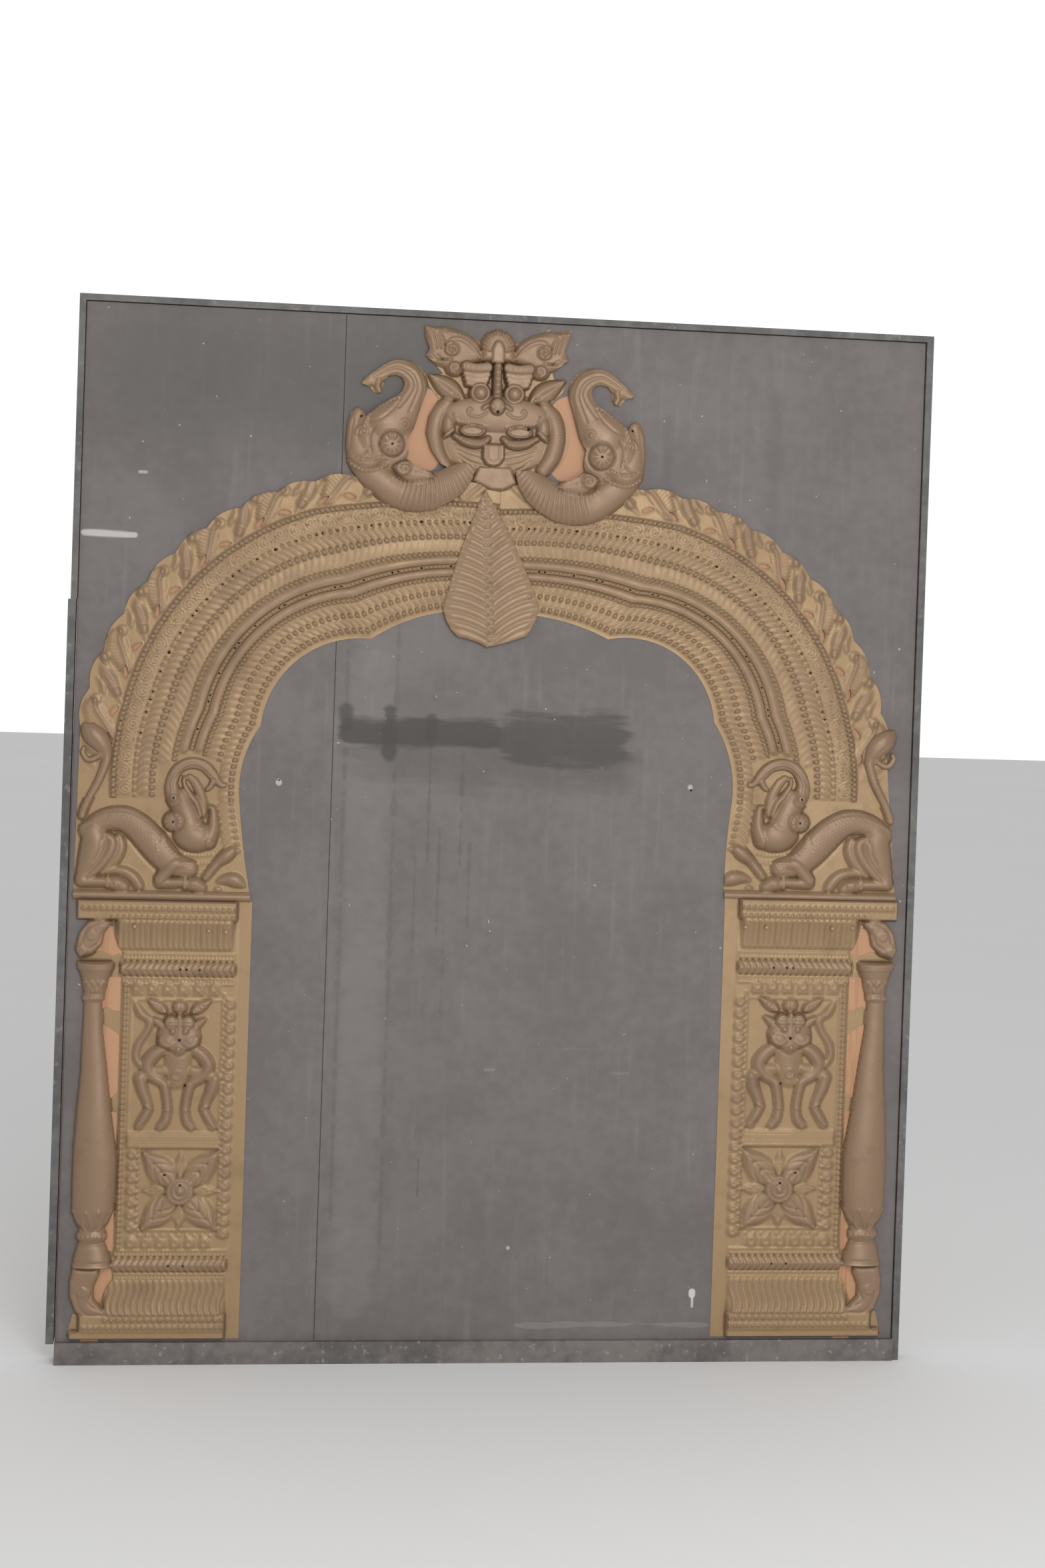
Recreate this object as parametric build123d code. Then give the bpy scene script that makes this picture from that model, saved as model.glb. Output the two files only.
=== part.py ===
from build123d import *
from dataclasses import dataclass
from math import cos, radians, sin
import os

# Temple arch of embossed sheet metal, nailed to a plywood board with edge strips, a bottom rail and rear
# battens. Millimetres. X runs to the viewer's right, Y runs back to the wall and Z runs up. The origin is
# at the foot of the board's back plane, half way between the upper edge strips.
# The ornament is drawn on the board's front face, as (across, up, out of the board), and then set in place.

# Board, strips and rail
board_side_margin = 23.0
board_top_margin = 28.0
frame_depth = 50.0
strip_width = 13.0
right_strip_width = 14.5
lower_strip_width = 16.0
lower_strip_gap = 2.0
lower_strip_top = 1570.0
lower_strip_foot = 42.0
rail_height = 46.0
rail_depth = 56.0
ply_thick = 12.0
ply_setback = 6.0
ply_gap = 2.0
seam_x = -354.0
seam_gap = 1.0

# Rear battens
batten_width = 50.0
seam_batten_width = 76.0
mid_rail_height = 1211.0

# Wall screw holes, through the board and the mid rails
wall_hole_radius = 2.5
wall_hole_left_x = -463.0
wall_hole_right_x = 405.0

# Sheet metal and relief heights
sheet_thick = 1.2
bead_ridge_relief = 7.0
outer_ridge_relief = 9.0
fillet_relief = 9.0
border_leaf_relief = 8.0
petal_relief = 5.0
moulding_relief = 14.0
cove_foot_relief = 8.0
cove_lip_relief = 22.0
panel_rib_relief = 6.0
flower_relief = 10.0
figure_depth_share = 0.75
bracket_depth_share = 0.8
column_depth_share = 0.85
overrun = 5.0

# Facets of the rounded forms
limb_facets = 3
crest_facets = 4
vein_facets = 2
column_facets = 6
bar_facets = 3
dome_facets = 8
dome_tier_shares = ((1.0, 0.0), (0.82, 0.57), (0.45, 0.9))
button_tier_shares = ((1.0, 0.0), (0.6, 0.9))
leaf_steps = 3
hole_steps = 2
rail_steps = 4
scallop_steps = 4
flat_limit = 1e-8

# Arch: runs are measured outwards from its axis
arch_axis_x = -22.0
arch_joint_gap = 0.6
arch_foot = 957.0
right_foot_lift = 28.0
arch_rise = 612.0
arch_crown_depth = 269.0
arch_shoulder_radius = 550.0
arch_shoulder_inset = 6.0
arch_side_border = 80.0
arch_crown_border = 57.0
scallop_count = 10
scallop_start_angle = 6.0
scallop_end_angle = 82.0
scallop_bulge = 9.0
almond_length = 18.0
almond_width = 8.0
almond_stand = 18.0
foot_ledge_height = 18.0
foot_ledge_relief = 10.0

# Bead ridges and fillets across the arch band: centre, half width (shares of the band) and relief
bead_ridge_shares = (0.065, 0.185, 0.305, 0.695, 0.83)
bead_half_share = 0.018
fillet_shares = (0.375, 0.495)
fillet_half_share = 0.045
outer_half_share = 0.026
fillet_crest_share = 0.45
hole_lean_share = 0.45

# Keystone leaf
leaf_left_x = -135.0
leaf_width = 201.0
leaf_drop = 72.0
leaf_tip_gap = 10.0
leaf_relief = 9.0
leaf_rib_depth = 14.0
leaf_vein_depth = 12.0

# Crest
mask_axis_x = -37.5
mask_half_width = 155.0
mask_lap = 10.0
mask_height = 337.0
mask_relief = 50.0
makara_relief = 40.0
makara_depth_share = 0.9
makara_left_x = -350.0
makara_left_width = 275.0
makara_left_drop = 66.0
makara_left_height = 320.0
makara_right_x = 284.0
makara_right_width = 279.0
makara_right_drop = 81.0
makara_right_height = 335.0

# Heights of the arch at its joint: the inner edge and the top of the leaf border
arch_crown = arch_foot + arch_rise
arch_top = arch_crown + arch_crown_depth


@dataclass
class Field:
    """A rectangle on the board's face, in which places are given as shares; a negative width runs left."""

    x: float
    foot: float
    width: float
    height: float

    def at(self, across, up, out=0.0):
        """Give the point at these shares of the width and height."""
        return Vector(self.x + across * self.width, self.foot + up * self.height, out)


@dataclass
class HalfArch:
    """One half of the arch. Its key points are shares of the opening and of the band's outer line."""

    side: int
    foot: float
    leg_height: float
    opening_half_width: float
    band_crown_width: float
    band_foot_width: float
    shoulder_lift: float
    foot_inset: float
    foot_flare: float
    leg_shares: tuple
    inner_shares: tuple
    outer_shares: tuple

    @property
    def band_foot(self):
        """Height at which the band ends on the leg."""
        return self.foot + self.leg_height

    @property
    def outer_crown(self):
        """Height of the outer ridge at the joint."""
        return arch_crown + self.band_crown_width

    @property
    def outer_band_foot_run(self):
        """Run to the outer ridge at the band's foot."""
        return self.opening_half_width + self.band_foot_width

    @property
    def inner_foot_run(self):
        """Run to the inner edge at the foot."""
        return self.opening_half_width - self.foot_inset

    @property
    def outer_foot_run(self):
        """Run to the outer edge at the foot."""
        return self.outer_band_foot_run + self.foot_flare

    @property
    def reach(self):
        """Distance from the board's middle to the outer edge at the foot."""
        return abs(arch_axis_x + self.side * self.outer_foot_run)

    @property
    def leg(self):
        """Point half way down the leg's inner edge, as (run, height)."""
        across, up = self.leg_shares
        return across * self.opening_half_width, self.foot + up * self.leg_height

    @property
    def shoulder_run(self):
        """Run to the middle of the leaf border's round shoulder."""
        return self.outer_band_foot_run - arch_shoulder_radius - arch_shoulder_inset

    @property
    def shoulder_height(self):
        """Height of the middle of the leaf border's round shoulder."""
        return self.outer_crown - arch_shoulder_radius + self.shoulder_lift

    def key_points(self, shares, foot_run, crown):
        """Give a line's points from the joint to the band's foot, as (run, height)."""
        rise = crown - self.band_foot
        points = [(across * foot_run, self.band_foot + up * rise) for across, up in shares]
        return [(arch_joint_gap / 2, crown), *points, (foot_run, self.band_foot)]

    def at(self, run, height, out=0.0):
        """Give the point at this run from the axis."""
        return Vector(arch_axis_x + self.side * run, height, out)

    def border(self, angle, stand):
        """Give a point on the leaf border, a stand outside the outer ridge, at an angle in degrees."""
        reach = arch_shoulder_radius + stand
        run = self.shoulder_run + reach * cos(radians(angle))
        return self.at(run, self.shoulder_height + reach * sin(radians(angle)))

    def border_width(self, angle):
        """Give the leaf border's width, which narrows towards the crown."""
        share = angle / scallop_end_angle
        return arch_side_border + share * (arch_crown_border - arch_side_border)

    def rail(self, share, out):
        """Give the arcs of the line at this share of the way from the inner edge to the outer ridge."""
        inner = self.key_points(self.inner_shares, self.opening_half_width, arch_crown)
        outer = self.key_points(self.outer_shares, self.outer_band_foot_run, self.outer_crown)
        points = []
        for near, far in zip(inner, outer):
            run = near[0] + share * (far[0] - near[0])
            height = near[1] + share * (far[1] - near[1])
            points.append(self.at(run, height, out))
        return [ThreePointArc(*points[first:first + 3]) for first in (0, 2, 4)]


left_half = HalfArch(
    side=-1, foot=arch_foot, leg_height=208.0, opening_half_width=521.0, band_crown_width=223.0,
    band_foot_width=257.0, shoulder_lift=0.0, foot_inset=30.0, foot_flare=75.0,
    leg_shares=(0.981, 0.567),
    inner_shares=((0.284, 0.98), (0.499, 0.849), (0.783, 0.735), (0.925, 0.389), (0.9885, 0.21)),
    outer_shares=((0.257, 0.9985), (0.49, 0.962), (0.785, 0.743), (0.964, 0.359), (0.996, 0.167)),
)
right_half = HalfArch(
    side=1, foot=arch_foot + right_foot_lift, leg_height=200.0, opening_half_width=515.0,
    band_crown_width=212.0, band_foot_width=264.0, shoulder_lift=7.0, foot_inset=10.0, foot_flare=99.0,
    leg_shares=(0.9845, 0.525),
    inner_shares=((0.233, 0.984), (0.462, 0.883), (0.812, 0.742), (0.9145, 0.445), (0.9845, 0.247)),
    outer_shares=((0.257, 1.003), (0.489, 0.97), (0.782, 0.75), (0.964, 0.344), (0.995, 0.176)),
)

# What follows the arch: the leaf hangs from its top, the crest stands on it and the board surrounds both
leaf_foot = arch_crown - leaf_drop
leaf_height = arch_top - leaf_tip_gap - leaf_foot
mask_foot = arch_top - mask_lap
makara_left_foot = arch_top - makara_left_drop
makara_right_foot = arch_top - makara_right_drop
board_width = 2 * (max(left_half.reach, right_half.reach) + board_side_margin)
board_height = mask_foot + mask_height + board_top_margin

# Fields of the pillars and of the foot creatures, beside the runs and feet of their arch halves
pillar_foot = 51.0
pillar_inner_shifts = (-3.0, 3.0)
pillar_outer_shifts = (-7.0, 8.0)
creature_inner_shifts = (14.0, -5.0)
creature_outer_shifts = (-3.0, -6.0)
creature_heights = (275.0, 280.0)
creature_feet = (18.0, 15.0)


def pillar_field(half, inner_shift, outer_shift):
    """Give the field of the pillar under an arch half."""
    start = half.inner_foot_run + inner_shift
    width = half.outer_foot_run + outer_shift - start
    return Field(half.at(start, 0).X, pillar_foot, half.side * width, half.foot - pillar_foot)


def creature_field(half, inner_shift, outer_shift, rise, height):
    """Give the field of the creature on an arch half's foot."""
    start = half.outer_foot_run + outer_shift
    width = start - half.inner_foot_run - inner_shift
    return Field(half.at(start, 0).X, half.foot + rise, -half.side * width, height)


arch_halves = (left_half, right_half)
left_pillar, right_pillar = map(pillar_field, arch_halves, pillar_inner_shifts, pillar_outer_shifts)
left_creature, right_creature = map(
    creature_field, arch_halves, creature_inner_shifts, creature_outer_shifts, creature_feet, creature_heights
)

# Foot creature: stations of (across, up, radius) as shares of its field, the radius a share of the height
creature_body_shares = (
    (0.08, 0.47, 0.09), (0.14, 0.545, 0.08), (0.24, 0.55, 0.085), (0.35, 0.50, 0.11),
    (0.43, 0.40, 0.13), (0.52, 0.28, 0.13), (0.60, 0.20, 0.10),
)
creature_thigh_shares = ((0.16, 0.34, 0.12), (0.12, 0.25, 0.10), (0.07, 0.14, 0.06), (0.045, 0.06, 0.045))
creature_shin_shares = ((0.035, 0.055, 0.045), (0.12, 0.055, 0.04), (0.29, 0.045, 0.042))
creature_far_leg_shares = ((0.25, 0.40, 0.035), (0.265, 0.30, 0.035), (0.21, 0.20, 0.03))
creature_far_paw_shares = ((0.20, 0.14, 0.03), (0.31, 0.13, 0.035), (0.38, 0.05, 0.04))
creature_arm_shares = ((0.62, 0.20, 0.075), (0.56, 0.14, 0.05), (0.485, 0.075, 0.04))
creature_forearm_shares = ((0.485, 0.055, 0.04), (0.60, 0.05, 0.035), (0.75, 0.04, 0.035))
creature_head_shares = (0.68, 0.42, 0.11, 0.125)
creature_jaw_shares = ((0.70, 0.40, 0.09), (0.795, 0.45, 0.06), (0.80, 0.56, 0.04), (0.775, 0.63, 0.03))
creature_trunk_shares = (
    (0.60, 0.58, 0.075), (0.565, 0.70, 0.055), (0.575, 0.84, 0.045), (0.63, 0.93, 0.04),
    (0.70, 0.945, 0.038), (0.765, 0.89, 0.035), (0.81, 0.83, 0.03), (0.87, 0.80, 0.02),
)
creature_rosette_shares = (0.557, 0.527, 0.06, 0.075)
creature_tail_shares = (
    (0.02, 0.56, 0.018), (0.07, 0.66, 0.022), (0.14, 0.82, 0.026), (0.17, 0.95, 0.026), (0.165, 1.07, 0.03),
)
creature_tail_tip_shares = (0.075, 1.12, 0.075, 0.12)
creature_bud_shares = ((0.79, 0.11, 0.03), (0.86, 0.25, 0.035), (0.91, 0.32, 0.05))

# Pillar: heights as shares of the pillar, from its foot
pillar_field_shares = (0.085, 0.745)
pillar_petal_column_shares = (0.095, 0.141)
pillar_pearl_share = 0.71
pillar_bead_row_shares = (0.032, 0.05, 0.971, 0.988)
pillar_small_row_shares = (0.146, 0.20, 0.824, 0.881)
pillar_rope_shares = (0.174, 0.846)
pillar_petal_row_shares = (0.229, 0.802)
pillar_divider_share = 0.458
pillar_foot_cove_shares = (0.139, 0.056)
pillar_head_cove_shares = (0.961, 0.898)
pillar_pearl_span_shares = (0.206, 0.815)
pillar_petal_span_shares = (0.252, 0.78)
pillar_bead_radius = 6.0
pillar_small_radius = 3.5
pillar_rope_radius = 14.0
pillar_petal_height = 28.0
pillar_divider_height = 26.0
cove_flute_count = 8
cove_flute_share = 0.7
column_axis_share = 0.885
column_profile_shares = (
    (0.858, 0.108), (0.842, 0.104), (0.805, 0.085), (0.79, 0.055), (0.778, 0.068), (0.768, 0.054),
    (0.62, 0.08), (0.45, 0.122), (0.33, 0.126), (0.262, 0.07), (0.242, 0.082), (0.226, 0.075),
    (0.17, 0.11),
)
bracket_shares = ((0.80, 0.952, 0.013), (0.88, 0.957, 0.016), (0.955, 0.925, 0.02), (0.98, 0.885, 0.014))
bracket_foot_shares = (0.90, 0.868, 0.10, 0.016)
lower_bracket_shares = (
    (0.80, 0.062, 0.014), (0.88, 0.075, 0.018), (0.935, 0.115, 0.024), (0.95, 0.15, 0.012),
)
lower_bracket_neck_shares = (0.90, 0.158, 0.09, 0.022)
column_web_shares = ((0.79, 0.765, 0.05, 0.03), (0.80, 0.51, 0.06, 0.012), (0.79, 0.205, 0.05, 0.012))

# Creature panel on the pillar
figure_across_shares = (0.146, 0.676)
figure_up_shares = (0.476, 0.78)
figure_head_shares = (0.50, 0.72, 0.22, 0.16)
figure_limb_shares = (
    ((0.50, 0.55, 0.075), (0.50, 0.40, 0.05), (0.50, 0.25, 0.03)),
    ((0.235, 0.57, 0.05), (0.33, 0.44, 0.042), (0.42, 0.34, 0.036), (0.415, 0.16, 0.034)),
    ((0.765, 0.57, 0.05), (0.67, 0.44, 0.042), (0.60, 0.34, 0.036), (0.60, 0.16, 0.034)),
    ((0.055, 0.42, 0.042), (0.13, 0.31, 0.036), (0.23, 0.19, 0.03)),
    ((0.945, 0.42, 0.042), (0.87, 0.31, 0.036), (0.77, 0.19, 0.03)),
    ((0.24, 0.15, 0.03), (0.10, 0.05, 0.036)),
    ((0.76, 0.15, 0.03), (0.90, 0.05, 0.036)),
    ((0.42, 0.13, 0.026), (0.34, 0.06, 0.034)),
    ((0.60, 0.13, 0.026), (0.66, 0.06, 0.034)),
    ((0.06, 0.95, 0.034), (0.15, 0.88, 0.028), (0.20, 0.78, 0.026), (0.12, 0.62, 0.024), (0.14, 0.47, 0.02)),
)
figure_ear_shares = (
    (0.34, 0.80, 0.14, 0.96), (0.66, 0.80, 0.86, 0.96),
    (0.34, 0.77, 0.16, 0.83), (0.66, 0.77, 0.84, 0.83),
)
figure_ear_width_share = 0.10
figure_muzzle_shares = (
    (0.39, 0.68, 0.075, 0.055), (0.61, 0.68, 0.075, 0.055),
    (0.43, 0.80, 0.05, 0.05), (0.57, 0.80, 0.05, 0.05),
)

# Flower panel on the pillar
flower_across_shares = (0.141, 0.606)
flower_up_shares = (0.25, 0.441)
flower_petal_reach_share = 0.65
flower_petal_count = 4
flower_turn = 45.0
flower_petal_width_share = 0.36
flower_small_reach_share = 0.44
flower_small_width_share = 0.16
flower_boss_share = 0.17

# Keystone leaf outline: across and up shares, each arc given by its middle and its end
leaf_outline_shares = (
    (0.40, 1.0), (0.16, 0.60), (0.0, 0.25), (0.05, 0.15), (0.165, 0.065), (0.32, 0.045), (0.47, 0.005),
    (0.70, 0.045), (0.87, 0.08), (0.97, 0.185), (1.0, 0.28), (0.746, 0.63), (0.40, 1.0),
)
leaf_centre_shares = (0.47, 0.38)
leaf_crown_share = 0.6
leaf_midrib_shares = ((0.41, 0.94, 0.010), (0.44, 0.60, 0.014), (0.50, 0.03, 0.010))
leaf_vein_up_shares = (0.06, 0.70)
leaf_vein_rise_share = 0.12
leaf_vein_reach_shares = (0.34, 0.40, 0.40, 0.33, 0.22)
leaf_vein_radius_share = 0.014

# Crest mask: shares of its half width (from the axis) and of its height
mask_face_shares = (0.0, 0.36, 0.80, 0.24)
mask_brow_shares = (0.0, 0.70, 0.58, 0.15)
mask_lip_shares = (0.0, 0.415, 0.74, 0.12)
mask_tongue_shares = (0.0, 0.228, 0.115, 0.075)
mask_socket_shares = (0.26, 0.593, 0.14, 0.065)
mask_eye_shares = (0.26, 0.593, 0.097, 0.0445)
mask_lid_shares = ((0.31, 0.625, 0.06), (0.31, 0.70, 0.08), (0.31, 0.775, 0.088))
mask_nose_shares = ((0.0, 0.78, 0.03), (0.0, 0.62, 0.035), (0.0, 0.50, 0.055), (0.0, 0.46, 0.035))
mask_cheek_shares = (0.66, 0.377, 0.12, 0.055)
mask_mouth_shares = (0.33, 0.347, 0.21, 0.05)
mask_mane_shares = (
    (0.70, 0.135, 0.05), (0.83, 0.25, 0.055), (0.86, 0.36, 0.055), (0.80, 0.46, 0.05), (0.66, 0.53, 0.04),
)
mask_ear_shares = (0.44, 0.54, 0.95, 0.694)
mask_ear_width_share = 0.12
mask_crown_shares = (0.15, 0.74, 0.995, 0.99)
mask_crown_width_share = 0.23
mask_palmette_shares = (0.0, 0.70, 0.0, 1.0)
mask_palmette_width_share = 0.23
mask_beard_shares = (
    (-0.26, 0.20), (-0.26, 0.10), (-0.33, 0.03), (-0.10, 0.0), (0.10, 0.0), (0.33, 0.03), (0.26, 0.10),
    (0.26, 0.20),
)
mask_mid_share = 0.75
mask_low_share = 0.5
mask_beard_relief_share = 0.3
mask_nose_depth_share = 2.0
mask_lid_depth_share = 1.4
mask_mane_depth_share = 1.2

# Crest creature: stations as on the foot creature
makara_body_shares = (
    (0.93, 0.35, 0.10), (0.865, 0.265, 0.112), (0.775, 0.185, 0.117), (0.636, 0.128, 0.118),
    (0.491, 0.107, 0.1), (0.364, 0.11, 0.098), (0.218, 0.185, 0.1), (0.125, 0.306, 0.085), (0.09, 0.42, 0.07),
)
makara_head_shares = (0.25, 0.46, 0.235, 0.22)
makara_trunk_shares = (
    (0.30, 0.50, 0.14), (0.40, 0.61, 0.105), (0.475, 0.71, 0.078), (0.512, 0.82, 0.0625),
    (0.465, 0.909, 0.053), (0.364, 0.95, 0.048), (0.262, 0.919, 0.042), (0.182, 0.8625, 0.034),
    (0.135, 0.831, 0.02),
)
makara_curl_shares = ((0.23, 0.88, 0.025), (0.25, 0.81, 0.022), (0.27, 0.766, 0.014))
makara_horn_shares = ((0.10, 0.46, 0.06), (0.065, 0.603, 0.04), (0.09, 0.656, 0.027))
makara_rosette_shares = (0.349, 0.4375, 0.113, 0.097)
makara_scroll_shares = (0.4545, 0.25, 0.125, 0.08)

# Planes worked out from the sizes above
ply_front = frame_depth - ply_setback
ply_back = ply_front - ply_thick
ply_left = -board_width / 2 + strip_width + ply_gap
ply_right = board_width / 2 - right_strip_width - ply_gap
ply_top = board_height - strip_width - ply_gap
leaf_seat = max(outer_ridge_relief, fillet_relief)
face_plane = Plane(origin=(0, -ply_front, 0), x_dir=(1, 0, 0), z_dir=(0, -1, 0))


def bar(left, right, foot, top, back, front):
    """Give a square-edged timber between these planes; back and front are depths from the wall."""
    middle = ((left + right) / 2, -(back + front) / 2, (foot + top) / 2)
    return Pos(*middle) * Box(right - left, front - back, top - foot)


def slab(left, right, foot, top, relief):
    """Give a flat raised area on the board's face."""
    middle = ((left + right) / 2, (foot + top) / 2, relief / 2)
    return Pos(*middle) * Box(abs(right - left), abs(top - foot), relief)


def flat_face(points):
    """Give the flat face with these corners."""
    return Face(Wire.make_polygon(points, close=True))


def flat_faces(corners):
    """Give one flat face with these four corners, or two where the corners don't lie in one plane."""
    first, second, third, fourth = corners
    normal = (second - first).cross(third - first).normalized()
    if abs(normal.dot(fourth - first)) < flat_limit:
        return [flat_face(corners)]
    return [flat_face([first, second, third]), flat_face([first, third, fourth])]


def skin(rings):
    """Close a stack of flat rings, each with as many points, into one facetted solid."""
    faces = [flat_face(rings[0]), flat_face(rings[-1])]
    for low, high in zip(rings, rings[1:]):
        for index in range(len(low)):
            faces += flat_faces([low[index - 1], low[index], high[index], high[index - 1]])
    return Solid(Shell(faces))


def tube(field, stations, depth_share, facets=limb_facets):
    """Give a tapering limb through (across, up, radius) stations; it lies on the board, flat below."""
    centres = [field.at(across, up) for across, up, radius in stations]
    rings = []
    for index, centre in enumerate(centres):
        before = centres[max(index - 1, 0)]
        after = centres[min(index + 1, len(centres) - 1)]
        radius = stations[index][2] * field.height
        side = Vector(0, 0, radius).cross((after - before).normalized())
        ring = []
        for facet in range(facets + 1):
            angle = radians(180 * facet / facets)
            ring.append(centre + side * cos(angle) + Vector(0, 0, radius * depth_share * sin(angle)))
        rings.append(ring)
    return skin(rings)


def dome(field, place, relief, tiers=dome_tier_shares):
    """Give a low dome at (across, up, half width, half height) shares of the field."""
    across, up, half_width, half_height = place
    centre = field.at(across, up)
    rings = []
    for reach_share, rise_share in tiers:
        ring = []
        for facet in range(dome_facets):
            angle = radians(360 * facet / dome_facets)
            side = reach_share * half_width * abs(field.width) * cos(angle)
            rise = reach_share * half_height * field.height * sin(angle)
            ring.append(centre + Vector(side, rise, relief * rise_share))
        rings.append(ring)
    return skin(rings)


def button(field, place, relief):
    """Give a small flat-topped dome."""
    return dome(field, place, relief, button_tier_shares)


def almond(start, end, width, steps):
    """List the corners of a pointed oval between two points."""
    across = (end - start).normalized().cross(Vector(0, 0, 1)) * (width / 2)
    points = []
    for way in (1, -1):
        for step in range(steps):
            share = step / steps
            bulge = across * (way * sin(radians(180 * share)))
            along = share if way > 0 else 1 - share
            points.append(start + (end - start) * along + bulge)
    return points


def leaf(start, end, width, relief):
    """Give a keeled leaf that rises from a pointed oval to one high point."""
    foot = almond(start, end, width, leaf_steps)
    peak = (start + end) / 2 + Vector(0, 0, relief)
    sides = [flat_face([foot[index - 1], foot[index], peak]) for index in range(len(foot))]
    return Solid(Shell(sides + [flat_face(foot)]))


def arch_outline(half):
    """Draw one half's sheet: cusped inner edge, straight foot, scalloped leaf border and plain top."""
    joint = arch_joint_gap / 2
    edges = half.rail(0, 0)
    band_foot = half.at(half.opening_half_width, half.band_foot)
    inner_foot = half.at(half.inner_foot_run, half.foot)
    outer_foot = half.at(half.outer_foot_run, half.foot)
    edges.append(ThreePointArc(band_foot, half.at(*half.leg), inner_foot))
    edges.append(Line(inner_foot, outer_foot))
    rim = [outer_foot]
    for index in range(scallop_count * scallop_steps + 1):
        lobes = index / scallop_steps
        angle = scallop_start_angle + (scallop_end_angle - scallop_start_angle) * lobes / scallop_count
        bulge = scallop_bulge * abs(sin(radians(180 * lobes)))
        rim.append(half.border(angle, half.border_width(angle) + bulge))
    edges.append(Polyline(*rim, half.at(joint, arch_top), half.at(joint, arch_crown)))
    return make_face(edges)


def rail_points(half, share, out):
    """List points along the arch at a share of its band."""
    arcs = half.rail(share, out)
    points = [arc @ (step / rail_steps) for arc in arcs for step in range(rail_steps)]
    return points + [arcs[-1] @ 1]


def ridge(half, centre, half_share, relief):
    """Give a sharp raised line that follows the cusped band."""
    lines = [rail_points(half, centre + way * half_share, 0) for way in (-1, 1)]
    lines.append(rail_points(half, centre, relief))
    return skin([list(ring) for ring in zip(*lines)])


def fillet_band(half, centre, half_share, relief):
    """Give a flat-topped moulding that follows the cusped band, narrower at its crest than at its foot."""
    crest = half_share * fillet_crest_share
    lines = [
        rail_points(half, centre - half_share, 0), rail_points(half, centre - crest, relief),
        rail_points(half, centre + crest, relief), rail_points(half, centre + half_share, 0),
    ]
    return skin([list(ring) for ring in zip(*lines)])


def foot_creature(field):
    """Give the forms of the seated, trunked creature at the foot of the arch."""
    limbs = [
        creature_body_shares, creature_thigh_shares, creature_shin_shares, creature_far_leg_shares,
        creature_far_paw_shares, creature_arm_shares, creature_forearm_shares, creature_jaw_shares,
        creature_trunk_shares, creature_tail_shares, creature_bud_shares,
    ]
    forms = [tube(field, stations, figure_depth_share) for stations in limbs]
    forms.append(dome(field, creature_head_shares, moulding_relief + bead_ridge_relief))
    forms.append(button(field, creature_rosette_shares, moulding_relief))
    forms.append(button(field, creature_tail_tip_shares, moulding_relief))
    return forms


def arch_sheet(half, creature):
    """Give one half of the arch, with its ridges, border leaves, foot ledge and foot creature."""
    outline = arch_outline(half)
    sheet = extrude(outline, sheet_thick)
    forms = [ridge(half, share, bead_half_share, bead_ridge_relief) for share in bead_ridge_shares]
    forms += [fillet_band(half, share, fillet_half_share, fillet_relief) for share in fillet_shares]
    forms.append(fillet_band(half, 1 - outer_half_share, outer_half_share, outer_ridge_relief))
    step = (scallop_end_angle - scallop_start_angle) / scallop_count
    cuts = []
    for index in range(scallop_count):
        angle = scallop_start_angle + index * step
        width = half.border_width(angle)
        root = half.border(angle, almond_stand)
        tip = half.border(angle + step, width - almond_width)
        forms.append(leaf(root, tip, almond_width + almond_stand, border_leaf_relief))
        hole_start = half.border(angle + step / 2, almond_width)
        hole_end = half.border(angle + step * hole_lean_share, almond_width + almond_length)
        hole = flat_face(almond(hole_start, hole_end, almond_width, hole_steps))
        cuts.append(extrude(hole, almond_length, both=True))
    ledge_radius = foot_ledge_height / 2
    ledge_start = half.at(half.inner_foot_run, half.foot + ledge_radius)
    ledge_run = half.outer_foot_run - half.inner_foot_run
    ledge_way = Vector(half.side, 0, 0)
    forms.append(half_round(ledge_start, ledge_way, ledge_run, ledge_radius, foot_ledge_relief))
    forms += foot_creature(creature)
    return sheet + forms - cuts


def cove(field, lip_share, foot_share):
    """Give a fluted cove between the pillar's field edges, standing out most at its lip."""
    rings = []
    for up, relief in ((lip_share, cove_lip_relief), (foot_share, cove_foot_relief)):
        ring = [field.at(pillar_field_shares[0], up)]
        span = pillar_field_shares[1] - pillar_field_shares[0]
        for index in range(cove_flute_count):
            valley = pillar_field_shares[0] + span * index / cove_flute_count
            ring.append(field.at(valley, up, relief * cove_flute_share))
            ring.append(field.at(valley + span / cove_flute_count / 2, up, relief))
        ring.append(field.at(pillar_field_shares[1], up, relief * cove_flute_share))
        ring.append(field.at(pillar_field_shares[1], up))
        rings.append(ring)
    return skin(rings)


def half_round(start, way, length, radius, depth):
    """Give a half-round bar that lies on the board from this point."""
    plane = Plane(origin=start, x_dir=(0, 0, 1), z_dir=way)
    points = []
    for facet in range(bar_facets + 1):
        angle = radians(180 * facet / bar_facets)
        points.append((depth * sin(angle), radius * cos(angle)))
    return extrude(plane * make_face(Polyline(*points, close=True)), length)


def across_bar(field, up_share, radius, depth):
    """Give a half-round bar across the pillar's field."""
    start = field.at(pillar_field_shares[0], up_share)
    end = field.at(pillar_field_shares[1], up_share)
    return half_round(start, (end - start).normalized(), (end - start).length, radius, depth)


def column(field):
    """Give the turned half column with its capital, lotus foot and pedestal."""
    girth = abs(field.width) / field.height
    stations = [(column_axis_share, up, radius * girth) for up, radius in column_profile_shares]
    return tube(field, stations, column_depth_share, column_facets)


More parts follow.
